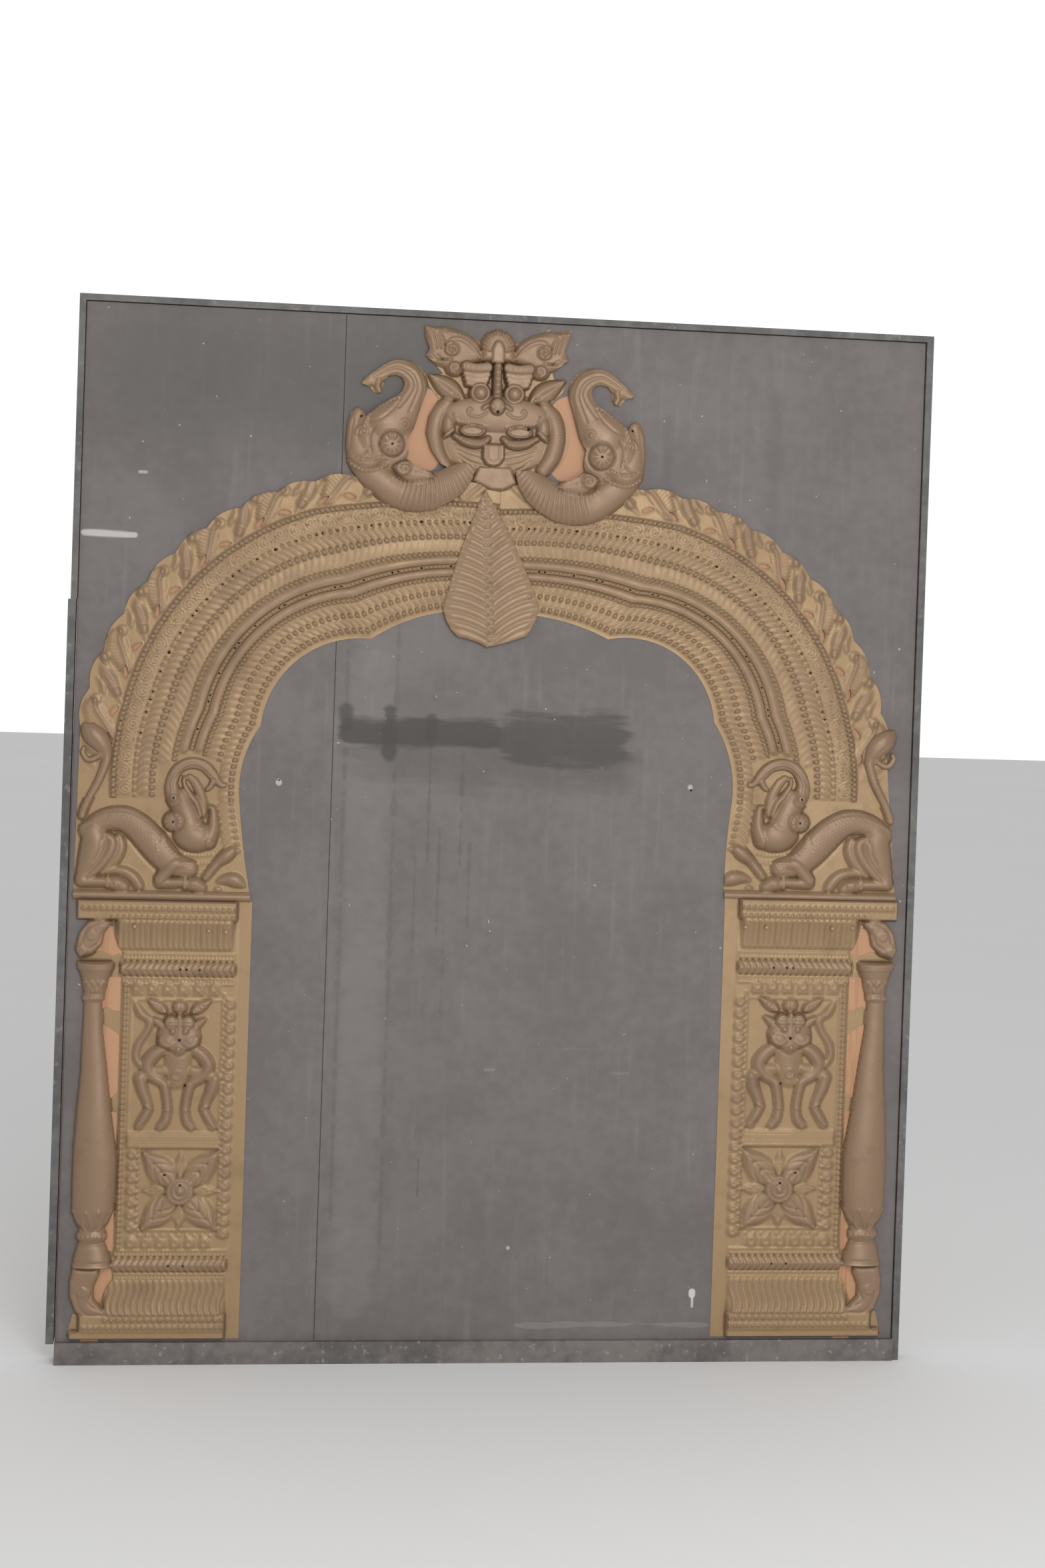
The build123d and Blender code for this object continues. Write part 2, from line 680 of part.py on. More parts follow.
def figure(field):
    """Give the forms of the seated creature in the pillar's upper panel."""
    near, far = figure_across_shares
    foot, top = figure_up_shares
    start = field.at(near, foot)
    panel = Field(start.X, start.Y, (far - near) * field.width, (top - foot) * field.height)
    forms = [tube(panel, stations, figure_depth_share) for stations in figure_limb_shares]
    forms.append(dome(panel, figure_head_shares, moulding_relief))
    forms += [button(panel, place, moulding_relief + panel_rib_relief) for place in figure_muzzle_shares]
    width = figure_ear_width_share * panel.height
    for across, up, end_across, end_up in figure_ear_shares:
        forms.append(leaf(panel.at(across, up), panel.at(end_across, end_up), width, panel_rib_relief))
    return forms


def flower(field):
    """Give the four-petalled flower of the pillar's lower panel."""
    near, far = flower_across_shares
    foot, top = flower_up_shares
    centre = field.at((near + far) / 2, (foot + top) / 2)
    span = (far - near) * abs(field.width)
    forms = []
    for index in range(flower_petal_count):
        turn = 360 * index / flower_petal_count
        short_way = Vector(span * flower_small_reach_share, 0, 0).rotate(Axis.Z, turn)
        long_way = Vector(span * flower_petal_reach_share, 0, 0).rotate(Axis.Z, turn + flower_turn)
        forms.append(leaf(centre, centre + long_way, span * flower_petal_width_share, flower_relief))
        forms.append(leaf(centre, centre + short_way, span * flower_small_width_share, flower_relief))
    square = Field(centre.X, centre.Y, span, span)
    forms.append(button(square, (0, 0, flower_boss_share, flower_boss_share), flower_relief))
    return forms


def pillar_sheet(field):
    """Give one pillar: flanged field with mouldings and two panels, beside a half column with brackets."""
    near, far = pillar_field_shares
    outer = field.at(1, 0).X
    sheet = slab(field.x, field.at(far, 0).X, field.foot, field.foot + field.height, sheet_thick)
    low = field.at(0, pillar_bead_row_shares[0]).Y
    high = field.at(0, pillar_bead_row_shares[2]).Y
    top = field.foot + field.height
    forms = [slab(field.x, outer, field.foot, low, sheet_thick), slab(field.x, outer, high, top, sheet_thick)]
    for share in pillar_bead_row_shares:
        forms.append(across_bar(field, share, pillar_bead_radius, bead_ridge_relief))
    for share in pillar_small_row_shares:
        forms.append(across_bar(field, share, pillar_small_radius, panel_rib_relief))
    for share in pillar_rope_shares:
        forms.append(across_bar(field, share, pillar_rope_radius, moulding_relief))
    bands = [(share, pillar_petal_height, petal_relief) for share in pillar_petal_row_shares]
    bands.append((pillar_divider_share, pillar_divider_height, panel_rib_relief))
    for share, height, relief in bands:
        start = field.at(near, share)
        end = field.at(far, share)
        forms.append(slab(start.X, end.X, start.Y - height / 2, start.Y + height / 2, relief))
    foot, top_share = pillar_petal_span_shares
    start = field.at(pillar_petal_column_shares[0], foot)
    end = field.at(pillar_petal_column_shares[1], top_share)
    forms.append(slab(start.X, end.X, start.Y, end.Y, petal_relief))
    pearl_foot = field.at(pillar_pearl_share, pillar_pearl_span_shares[0])
    pearl_top = field.at(pillar_pearl_share, pillar_pearl_span_shares[1])
    pearl_length = pearl_top.Y - pearl_foot.Y
    forms.append(half_round(pearl_foot, Vector(0, 1, 0), pearl_length, pillar_bead_radius, bead_ridge_relief))
    forms += [cove(field, *pillar_foot_cove_shares), cove(field, *pillar_head_cove_shares)]
    forms += [column(field), tube(field, bracket_shares, bracket_depth_share)]
    forms.append(tube(field, lower_bracket_shares, bracket_depth_share))
    plates = (bracket_foot_shares, lower_bracket_neck_shares) + column_web_shares
    for across, up, half_width, half_height in plates:
        start = field.at(across - half_width, up - half_height)
        end = field.at(across + half_width, up + half_height)
        forms.append(slab(start.X, end.X, start.Y, end.Y, sheet_thick))
    forms += figure(field) + flower(field)
    return sheet + forms


def keystone_leaf():
    """Give the leaf over the joint of the arch, crowned and veined, resting on the arch's ridges."""
    field = Field(leaf_left_x, leaf_foot, leaf_width, leaf_height)
    points = [field.at(*share) for share in leaf_outline_shares]
    edges = [ThreePointArc(*points[first:first + 3]) for first in range(0, len(points) - 2, 2)]
    foot = [edge @ (step / leaf_steps) for edge in edges for step in range(leaf_steps)]
    centre = field.at(*leaf_centre_shares)
    crown = [centre + (point - centre) * leaf_crown_share + Vector(0, 0, leaf_relief) for point in foot]
    body = skin([foot, crown])
    ribs = [tube(field, leaf_midrib_shares, leaf_rib_depth / (leaf_midrib_shares[1][2] * leaf_height))]
    low, high = leaf_vein_up_shares
    middle = leaf_midrib_shares[1][0]
    for index, reach in enumerate(leaf_vein_reach_shares):
        up = low + (high - low) * index / (len(leaf_vein_reach_shares) - 1)
        for way in (1, -1):
            stations = (
                (middle, up, leaf_vein_radius_share),
                (middle + way * reach, up + leaf_vein_rise_share, leaf_vein_radius_share / 2),
            )
            depth_share = leaf_vein_depth / (leaf_vein_radius_share * leaf_height)
            ribs.append(tube(field, stations, depth_share, vein_facets))
    return Pos(0, 0, leaf_seat) * (body + ribs)


def crest_mask(keep_out):
    """Give the lion-like mask: brows, eyes, nose, lips, tongue, mane, ears, crown leaves and beard."""
    halves = [Field(mask_axis_x, mask_foot, way * mask_half_width, mask_height) for way in (1, -1)]
    middle = halves[0]
    mid = mask_relief * mask_mid_share
    low = mask_relief * mask_low_share
    beard = make_face(Polyline(*[middle.at(*share) for share in mask_beard_shares], close=True))
    forms = [dome(middle, mask_brow_shares, mid), dome(middle, mask_lip_shares, mask_relief)]
    forms.append(dome(middle, mask_tongue_shares, mid))
    forms.append(tube(middle, mask_nose_shares, mask_nose_depth_share, crest_facets))
    forms.append(extrude(beard, mask_relief * mask_beard_relief_share))
    leaves = [(middle, mask_palmette_shares, mask_palmette_width_share, low)]
    for half in halves:
        forms.append(button(half, mask_socket_shares, mid))
        forms.append(button(half, mask_eye_shares, mask_relief))
        forms.append(tube(half, mask_lid_shares, mask_lid_depth_share, crest_facets))
        forms.append(button(half, mask_cheek_shares, mid))
        forms.append(button(half, mask_mouth_shares, mask_relief))
        forms.append(tube(half, mask_mane_shares, mask_mane_depth_share, crest_facets))
        leaves.append((half, mask_ear_shares, mask_ear_width_share, low))
        leaves.append((half, mask_crown_shares, mask_crown_width_share, low))
    for half, ends, width_share, relief in leaves:
        forms.append(leaf(half.at(*ends[:2]), half.at(*ends[2:]), width_share * mask_height, relief))
    return dome(middle, mask_face_shares, mid) + forms - keep_out


def crest_makara(field, keep_out):
    """Give one trunked creature of the crest, its ribbed body rising from beside the mask's beard."""
    limbs = [makara_body_shares, makara_trunk_shares, makara_curl_shares, makara_horn_shares]
    forms = [tube(field, stations, makara_depth_share, crest_facets) for stations in limbs]
    forms.append(button(field, makara_rosette_shares, makara_relief))
    forms.append(button(field, makara_scroll_shares, makara_relief))
    return dome(field, makara_head_shares, makara_relief) + forms - keep_out


def board_nodes():
    """Give the plywood, edge strips, bottom rail and rear battens."""
    left = -board_width / 2
    right = board_width / 2
    top = board_height - strip_width
    inner_left = left + strip_width
    inner_right = right - right_strip_width
    lower_right = inner_left - lower_strip_gap
    seam_left = seam_x - seam_batten_width / 2
    seam_right = seam_x + seam_batten_width / 2
    stile_left = inner_left + batten_width
    stile_right = inner_right - batten_width
    rail_top = rail_height + batten_width
    mid_foot = mid_rail_height - batten_width / 2
    mid_top = mid_rail_height + batten_width / 2
    hole_length = frame_depth + overrun
    holes = []
    for hole_x in (wall_hole_left_x, wall_hole_right_x):
        hole = Rot(90, 0, 0) * Cylinder(wall_hole_radius, hole_length * 2)
        holes.append(Pos(hole_x, 0, mid_rail_height) * hole)
    left_sheet = bar(ply_left, seam_x - seam_gap / 2, rail_height, ply_top, ply_back, ply_front)
    right_sheet = bar(seam_x + seam_gap / 2, ply_right, rail_height, ply_top, ply_back, ply_front)
    return {
        "board_sheet_left": left_sheet - holes,
        "board_sheet_right": right_sheet - holes,
        "edge_strip_top": bar(inner_left, inner_right, top, board_height, 0, frame_depth),
        "edge_strip_right": bar(inner_right, right, 0, board_height, 0, frame_depth),
        "edge_strip_left_upper": bar(left, inner_left, lower_strip_top, board_height, 0, frame_depth),
        "edge_strip_left_lower": bar(lower_right - lower_strip_width, lower_right, lower_strip_foot,
                                     lower_strip_top, 0, frame_depth),
        "bottom_rail": bar(inner_left, inner_right, 0, rail_height, 0, rail_depth),
        "rear_stile_left": bar(inner_left, stile_left, rail_height, top, 0, ply_back),
        "rear_stile_right": bar(stile_right, inner_right, rail_height, top, 0, ply_back),
        "rear_rail_top": bar(stile_left, stile_right, top - batten_width, top, 0, ply_back),
        "rear_rail_bottom": bar(stile_left, stile_right, rail_height, rail_top, 0, ply_back),
        "seam_batten": bar(seam_left, seam_right, rail_top, top - batten_width, 0, ply_back),
        "mid_rail_left": bar(stile_left, seam_left, mid_foot, mid_top, 0, ply_back) - holes,
        "mid_rail_right": bar(seam_right, stile_right, mid_foot, mid_top, 0, ply_back) - holes,
    }


def main():
    """Build every piece and write one file for each."""
    keep_out = [extrude(arch_outline(half), leaf_seat) for half in arch_halves]
    makara_left = crest_makara(
        Field(makara_left_x, makara_left_foot, makara_left_width, makara_left_height), keep_out)
    makara_right = crest_makara(
        Field(makara_right_x, makara_right_foot, -makara_right_width, makara_right_height), keep_out)
    ornament = {
        "arch_sheet_left": arch_sheet(left_half, left_creature),
        "arch_sheet_right": arch_sheet(right_half, right_creature),
        "pillar_sheet_left": pillar_sheet(left_pillar),
        "pillar_sheet_right": pillar_sheet(right_pillar),
        "keystone_leaf": keystone_leaf(),
        "crest_makara_left": makara_left,
        "crest_makara_right": makara_right,
        "crest_mask": crest_mask(keep_out) - makara_left - makara_right,
    }
    nodes = board_nodes()
    nodes.update({name: face_plane * part for name, part in ornament.items()})
    os.makedirs("parts", exist_ok=True)
    for name, part in nodes.items():
        export_step(part, f"parts/{name}.step")


main()
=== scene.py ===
import logging
import math
from dataclasses import dataclass
from enum import Enum
from functools import partial
from typing import Callable, Optional, Sequence

import bpy
import numpy as np
from mathutils import Matrix


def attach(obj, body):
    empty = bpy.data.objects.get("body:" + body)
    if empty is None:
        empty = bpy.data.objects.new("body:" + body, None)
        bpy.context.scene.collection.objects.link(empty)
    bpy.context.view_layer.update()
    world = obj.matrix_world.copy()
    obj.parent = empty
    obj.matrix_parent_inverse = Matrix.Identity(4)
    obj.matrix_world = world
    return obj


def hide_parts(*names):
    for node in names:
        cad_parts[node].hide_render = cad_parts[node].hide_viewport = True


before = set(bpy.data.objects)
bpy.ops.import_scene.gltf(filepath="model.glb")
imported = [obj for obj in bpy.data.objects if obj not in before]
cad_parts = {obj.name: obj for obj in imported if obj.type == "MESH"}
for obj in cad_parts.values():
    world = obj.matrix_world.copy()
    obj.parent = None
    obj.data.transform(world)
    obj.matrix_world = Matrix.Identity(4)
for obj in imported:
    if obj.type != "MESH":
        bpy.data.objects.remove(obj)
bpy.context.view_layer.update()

LOG = logging.getLogger("temple_arch")
MM = 0.001
PLY_FRONT = 44.0  # How far the plywood's front lies before the back plane, in millimetres.
SHEET = 1.2  # Thickness of the metal.
FAR = 1000.0
TINY = 1e-9
SOFT_TOP = 34.0  # Relief above this height is pressed down.
TOP_ROOM = 9.0  # Most that pressed relief rises over that height.
SMOOTH_ANGLE = math.radians(55)  # Edges sharper than this stay sharp.
SPAN_STEPS = 6  # Stretches to a span of a smooth line.
SPIRAL_TURNS = 1.6
CAVITY_PASSES = 5  # Softening that shows how far a place lies below its neighbourhood.
LEAST_SLOPE = 0.4  # Keeps the crossings of the rim from jumping where the outline turns.
RIM_REACH = 1.2  # How far a crossing may move to the outline, in spacings of the grid.
Array = np.ndarray
Line = Sequence[Sequence[float]]
Piece = bpy.types.Object
Mesh = bpy.types.Mesh
Material = bpy.types.Material
Socket = bpy.types.NodeSocket
Tree = bpy.types.NodeTree


class Side(Enum):
    """Which side of the arch a piece belongs to."""

    LEFT = -1
    RIGHT = 1

    @property
    def word(self) -> str:
        """Give the side's name in lower case."""
        return self.name.lower()


def smooth_line(points: Line, steps: int = SPAN_STEPS) -> Array:
    """Run a smooth curve through points of any width.

    Args:
        points: Places, each with an optional radius after its two coordinates.
        steps: How many stretches each span is cut into.

    Returns:
        The curve's points, one a row.
    """
    knots = np.array(points, float)
    ends = np.vstack([2 * knots[0] - knots[1], knots, 2 * knots[-1] - knots[-2]])
    share = np.linspace(0, 1, steps, endpoint=False)[:, None]
    rows = []
    for index in range(len(knots) - 1):
        before, start, end, after = ends[index:index + 4]
        cubic = 3 * start - before - 3 * end + after
        square = 2 * before - 5 * start + 4 * end - after
        rows.append(0.5 * (2 * start + (end - before) * share + square * share ** 2 + cubic * share ** 3))
    rows.append(knots[-1:])
    return np.vstack(rows)


def outline_distance(x: Array, z: Array, points: Line) -> Array:
    """Give the distance to a closed outline, negative inside it.

    Args:
        x: Places across.
        z: Places up.
        points: The outline's corners.

    Returns:
        One distance for each place.
    """
    corners = np.array(points, float)
    near = np.full(np.broadcast_shapes(x.shape, z.shape), FAR)
    inside = np.zeros(near.shape, bool)
    for start, end in zip(corners, np.roll(corners, -1, axis=0)):
        way = end - start
        share = np.clip(((x - start[0]) * way[0] + (z - start[1]) * way[1]) / (way @ way + TINY), 0, 1)
        near = np.minimum(near, np.hypot(x - start[0] - share * way[0], z - start[1] - share * way[1]))
        crosses = (start[1] > z) != (end[1] > z)
        rise = way[1] if abs(way[1]) > TINY else TINY
        inside ^= crosses & (x < start[0] + (z - start[1]) / rise * way[0])
    return np.where(inside, -near, near)


def vertex_places(mesh: Mesh) -> Array:
    """Give the places of a mesh's points, one a row."""
    places = np.zeros(len(mesh.vertices) * 3)
    mesh.vertices.foreach_get("co", places)
    return places.reshape(-1, 3)


def rounded(share: Array, power: float = 0.7) -> Array:
    """Give a rounded crest over shares from -1 to 1, zero outside and fuller with a lower power."""
    return np.clip(1 - share ** 2, 0, None) ** power


class GridSheet:
    """A sheet of metal on a grid, whose every crossing has a place and a height over the plywood."""

    def __init__(self, x: Array, z: Array, height: Array, edge: Array, pit: Array,
            level: object = SHEET) -> None:
        """Keep the grid's arrays.

        Args:
            x: Places across, in millimetres.
            z: Places up.
            height: Heights over the plywood.
            edge: Signed distance to the sheet's outline, negative on the sheet.
            pit: One at a pin hole, zero elsewhere.
            level: Height of the plain surface that the ornament stands on.
        """
        self.level = level + np.zeros_like(height)
        self.x = x
        self.z = z
        self.height = height
        self.edge = edge
        self.pit = pit

    def soften(self, passes: int) -> None:
        """Round off the relief as beaten metal is.

        Args:
            passes: How many times neighbours are averaged.
        """
        for _ in range(passes):
            for axis in (0, 1):
                padded = np.pad(self.height, [(1, 1) if axis == way else (0, 0) for way in (0, 1)],
                    mode="edge")
                low = np.take(padded, range(0, padded.shape[axis] - 2), axis)
                high = np.take(padded, range(2, padded.shape[axis]), axis)
                self.height = 0.5 * self.height + 0.25 * (low + high)

    def kept_faces(self) -> Array:
        """Say which of the grid's faces lie on the sheet."""
        edge = self.edge
        return (edge[:-1, :-1] + edge[1:, :-1] + edge[:-1, 1:] + edge[1:, 1:]) < 0

    def snap_rim(self, kept: Array) -> None:
        """Move the crossings along the rim onto the true outline.

        Args:
            kept: Which faces stay.
        """
        around = np.zeros(self.edge.shape, int)
        for row in (0, 1):
            for column in (0, 1):
                rows = slice(row, row + kept.shape[0])
                columns = slice(column, column + kept.shape[1])
                around[rows, columns] += kept
        rim = (around > 0) & (around < 4)
        step_x = np.hypot(np.gradient(self.x, axis=1), np.gradient(self.z, axis=1))
        step_z = np.hypot(np.gradient(self.x, axis=0), np.gradient(self.z, axis=0))
        slope_x = np.gradient(self.edge, axis=1) / (step_x + TINY)
        slope_z = np.gradient(self.edge, axis=0) / (step_z + TINY)
        steep = np.clip(slope_x ** 2 + slope_z ** 2, LEAST_SLOPE, None)
        near = np.abs(self.edge) < RIM_REACH * np.maximum(step_x, step_z)
        move = np.where(rim & near, self.edge, 0) / steep
        along_x, along_z = move * slope_x / (step_x + TINY), move * slope_z / (step_z + TINY)
        moved_x = along_x * np.gradient(self.x, axis=1) + along_z * np.gradient(self.x, axis=0)
        moved_z = along_x * np.gradient(self.z, axis=1) + along_z * np.gradient(self.z, axis=0)
        self.x = self.x - moved_x
        self.z = self.z - moved_z

    def cavity(self) -> Array:
        """Say how far each crossing lies below its neighbourhood, in millimetres."""
        smooth = GridSheet(self.x, self.z, self.height, self.edge, self.pit)
        smooth.soften(CAVITY_PASSES)
        return smooth.height - self.height

    def build(self, name: str, rim: Optional[float] = None) -> Piece:
        """Make the sheet's mesh from a grid primitive.

        Args:
            name: The piece's name.
            rim: How far the rim turns back, in millimetres, or down to the plywood where it isn't given.

        Returns:
            The new piece.
        """
        over = np.clip(self.height - SOFT_TOP, 0, None)
        self.height = np.minimum(self.height, SOFT_TOP) + TOP_ROOM * (1 - np.exp(-over / TOP_ROOM))
        kept = self.kept_faces()
        if not kept.all():
            self.snap_rim(kept)
        rows, columns = kept.shape
        bpy.ops.object.select_all(action="DESELECT")
        bpy.ops.mesh.primitive_grid_add(x_subdivisions=columns, y_subdivisions=rows, size=2)
        piece = bpy.context.active_object
        piece.name = name
        mesh = piece.data
        mesh.name = name
        places = vertex_places(mesh)
        column = np.rint((places[:, 0] + 1) / 2 * columns).astype(int)
        row = np.rint((places[:, 1] + 1) / 2 * rows).astype(int)
        height = self.height[row, column]
        placed = np.stack([self.x[row, column], -PLY_FRONT - height, self.z[row, column]], axis=1) * MM
        mesh.vertices.foreach_set("co", placed.ravel())
        kept_values = (("relief", height - self.level[row, column]), ("pit", self.pit[row, column]),
                       ("cavity", self.cavity()[row, column]))
        for label, values in kept_values:
            attribute = mesh.attributes.new(label, "FLOAT", "POINT")
            attribute.data.foreach_set("value", values.astype(np.float32))
        corners = np.zeros(len(mesh.loops), int)
        mesh.loops.foreach_get("vertex_index", corners)
        corners = corners.reshape(-1, 4)
        face_row = row[corners].min(axis=1)
        face_column = column[corners].min(axis=1)
        self.trim(mesh, ~kept[face_row, face_column], self.turned())
        self.turn_rim(mesh, rim)
        bpy.ops.object.shade_smooth_by_angle(angle=SMOOTH_ANGLE)
        return piece

    def turned(self) -> bool:
        """Say whether the grid runs so that its faces look back at the plywood."""
        middle = (self.x.shape[0] // 2, self.x.shape[1] // 2)
        across = (self.x[middle[0], middle[1] + 1] - self.x[middle],
            self.z[middle[0], middle[1] + 1] - self.z[middle])
        up = (self.x[middle[0] + 1, middle[1]] - self.x[middle],
            self.z[middle[0] + 1, middle[1]] - self.z[middle])
        return across[0] * up[1] - across[1] * up[0] < 0

    @staticmethod
    def trim(mesh: Mesh, spare: Array, turned: bool) -> None:
        """Cut away the faces outside the outline and turn the rest to the front.

        Args:
            mesh: The sheet's mesh.
            spare: Which faces go.
            turned: Whether the faces look back at the plywood.
        """
        bpy.ops.object.mode_set(mode="EDIT")
        bpy.ops.mesh.select_mode(type="FACE")
        if turned:
            bpy.ops.mesh.select_all(action="SELECT")
            bpy.ops.mesh.flip_normals()
        bpy.ops.mesh.select_all(action="DESELECT")
        bpy.ops.object.mode_set(mode="OBJECT")
        if spare.any():
            mesh.polygons.foreach_set("select", spare)
            bpy.ops.object.mode_set(mode="EDIT")
            bpy.ops.mesh.delete(type="FACE")
            bpy.ops.object.mode_set(mode="OBJECT")

    @staticmethod
    def turn_rim(mesh: Mesh, rim: Optional[float]) -> None:
        """Turn the sheet's edges back to the plywood.

        Args:
            mesh: The sheet's mesh.
            rim: How far they turn, or down to the plywood where it isn't given.
        """
        bpy.ops.object.mode_set(mode="EDIT")
        bpy.ops.mesh.select_mode(type="EDGE")
        bpy.ops.mesh.select_all(action="DESELECT")
        bpy.ops.mesh.select_non_manifold(extend=False, use_wire=False, use_multi_face=False,
                                         use_non_contiguous=False, use_verts=False)
        bpy.ops.mesh.extrude_edges_move(TRANSFORM_OT_translate={"value": (0, (rim or 0) * MM, 0)})
        bpy.ops.object.mode_set(mode="OBJECT")
        if rim is None:
            chosen = np.zeros(len(mesh.vertices), bool)
            mesh.vertices.foreach_get("select", chosen)
            places = vertex_places(mesh)
            places[chosen, 1] = -PLY_FRONT * MM
            mesh.vertices.foreach_set("co", places.ravel())
        mesh.update()


class ReliefCanvas:
    """An upright, evenly spaced grid on which the maker's forms are raised, beaded, lined and pierced."""

    def __init__(self, left: float, right: float, foot: float, top: float, pitch: float,
                 ground: float = SHEET) -> None:
        """Lay out the grid.

        Args:
            left: Left end, in millimetres.
            right: Right end.
            foot: Lower end.
            top: Upper end.
            pitch: Spacing of the grid.
            ground: Height of the plain sheet.
        """
        self.x = np.linspace(left, right, int(round((right - left) / pitch)) + 1)
        self.z = np.linspace(foot, top, int(round((top - foot) / pitch)) + 1)
        shape = (len(self.z), len(self.x))
        self.pitch = pitch
        self.height = np.full(shape, ground)
        self.level = np.full(shape, SHEET)
        self.edge = np.full(shape, FAR)
        self.pit = np.zeros(shape)

    def window(self, left: float, right: float, foot: float, top: float) -> tuple:
        """Give the part of the grid around a form.

        Args:
            left: Left end of the form.
            right: Right end.
            foot: Lower end.
            top: Upper end.

        Returns:
            The slices of the grid, and its places across and up there.
        """
        first, last = np.searchsorted(self.x, (left, right))
        low, high = np.searchsorted(self.z, (foot, top))
        columns = slice(max(first - 1, 0), last + 1)
        rows = slice(max(low - 1, 0), high + 1)
        return (rows, columns), self.x[None, columns], self.z[rows, None]

    def around(self, outline: Line, margin: float = 0.0) -> tuple:
        """Give the part of the grid around an outline, as window does.

        Args:
            outline: The outline's corners.
            margin: Room left beyond them.

        Returns:
            The slices of the grid, and its places across and up there.
        """
        corners = np.array(outline, float)
        low, high = corners.min(axis=0) - margin, corners.max(axis=0) + margin
        return self.window(low[0], high[0], low[1], high[1])

    def swept(self, stations: Line, steps: int, power: float) -> tuple:
        """Measure the grid against a line that has a radius at each point.

        Args:
            stations: Points as (across, up, radius).
            steps: Stretches to a span.
            power: Fullness of the form's section.

        Returns:
            The slices of the grid, the rounded section there and the distance to the form's side.
        """
        line = smooth_line(stations, steps)
        reach = line[:, 2].max() + 2 * self.pitch
        area, x, z = self.window(line[:, 0].min() - reach, line[:, 0].max() + reach,
                                 line[:, 1].min() - reach, line[:, 1].max() + reach)
        section = np.zeros(np.broadcast_shapes(x.shape, z.shape))
        near = np.full(section.shape, FAR)
        for start, end in zip(line, line[1:]):
            way = end - start
            share = ((x - start[0]) * way[0] + (z - start[1]) * way[1]) / (way[0] ** 2 + way[1] ** 2 + TINY)
            share = np.clip(share, 0, 1)
            gap = np.hypot(x - start[0] - share * way[0], z - start[1] - share * way[1])
            radius = np.clip(start[2] + share * way[2], 0.5, None)
            section = np.maximum(section, radius * rounded(gap / radius, power))
            near = np.minimum(near, gap - radius)
        return area, section, near

    def limb(self, stations: Line, lift_share: float = 0.7, floor: float = SHEET, keep: bool = False,
             power: float = 0.7) -> None:
        """Raise a rounded limb.

        Args:
            stations: Points as (across, up, radius).
            lift_share: Height as a share of the radius.
            floor: Height that the limb rises from.
            keep: Whether the sheet exists under the limb.
            power: Fullness of its section.
        """
        area, section, near = self.swept(stations, SPAN_STEPS, power)
        raised = np.where(section > 0, floor + lift_share * section, 0)
        self.height[area] = np.maximum(self.height[area], raised)
        if keep:
            self.edge[area] = np.minimum(self.edge[area], near)

    def turned(self, profile: Line, lift_share: float, floor: float) -> None:
        """Raise a half-round turned form on an upright axis, with the sheet under it.

        Args:
            profile: Points of its outline as (up, axis, half width), from the foot.
            lift_share: Height as a share of the half width.
            floor: Height that it rises from.
        """
        up, axis, half = np.array(profile, float).T
        area, x, z = self.window((axis - half).min() - 4, (axis + half).max() + 4, up[0], up[-1])
        wide = np.interp(z, up, half)
        gap = np.abs(x - np.interp(z, up, axis)) - wide
        inside = (gap < 0) & (z >= up[0]) & (z <= up[-1])
        raised = floor + lift_share * wide * rounded(1 + gap / wide, 0.45)
        self.height[area] = np.where(inside, np.maximum(self.height[area], raised), self.height[area])
        ends = np.maximum(up[0] - z, z - up[-1])
        self.edge[area] = np.minimum(self.edge[area], np.maximum(gap, ends))

    def line(self, points: Line, radius: float, lift: float, steps: int = SPAN_STEPS) -> None:
        """Chase a line: raised where lift is positive, sunk where it is negative.

        Args:
            points: Points as (across, up).
            radius: Half width of the line.
            lift: Height that it adds.
            steps: Stretches to a span.
        """
        stations = [(point[0], point[1], radius) for point in points]
        area, section, _ = self.swept(stations, steps, 1.0)
        self.height[area] += lift * section / radius

    def dome(self, x: float, z: float, half_width: float, half_height: float, lift: float,
            turn: float = 0.0, floor: Optional[float] = None, power: float = 0.6) -> None:
        """Raise a dome, on top of what is there unless a floor is given.

        Args:
            x: Centre across.
            z: Centre up.
            half_width: Half its width.
            half_height: Half its height.
            lift: How far it stands out.
            turn: Angle in degrees.
            floor: Height that it rises from.
            power: Fullness.
        """
        reach = max(half_width, half_height) + 2 * self.pitch
        area, along, up = self.window(x - reach, x + reach, z - reach, z + reach)
        cosine, sine = math.cos(math.radians(turn)), math.sin(math.radians(turn))
        first = ((along - x) * cosine + (up - z) * sine) / half_width
        second = ((up - z) * cosine - (along - x) * sine) / half_height
        share = np.hypot(first, second)
        rise = lift * rounded(share, power)
        if floor is None:
            self.height[area] += rise
        else:
            self.height[area] = np.where(share < 1, np.maximum(self.height[area], floor + rise),
                self.height[area])

    def ring(self, x: float, z: float, radius: float, half_width: float, lift: float) -> None:
        """Add a raised ring.

        Args:
            x: Centre across.
            z: Centre up.
            radius: Radius of its crest.
            half_width: Half its width.
            lift: How far it stands out.
        """
        reach = radius + half_width
        area, along, up = self.window(x - reach, x + reach, z - reach, z + reach)
        gap = np.hypot(along - x, up - z) - radius
        self.height[area] += lift * rounded(gap / half_width, 1.0)

    def beads(self, points: Line, pitch: float, radius: float, lift: float) -> None:
        """Add a row of beads along a line.

        Args:
            points: Points as (across, up).
            pitch: Spacing of the beads.
            radius: Radius of a bead.
            lift: How far each stands out.
        """
        line = smooth_line(points, 8)
        run = np.concatenate([[0], np.cumsum(np.hypot(*np.diff(line[:, :2], axis=0).T))])
        for stop in np.linspace(0, run[-1], max(int(round(run[-1] / pitch)), 1) + 1):
            centre = (np.interp(stop, run, line[:, 0]), np.interp(stop, run, line[:, 1]))
            self.dome(centre[0], centre[1], radius, radius, lift)

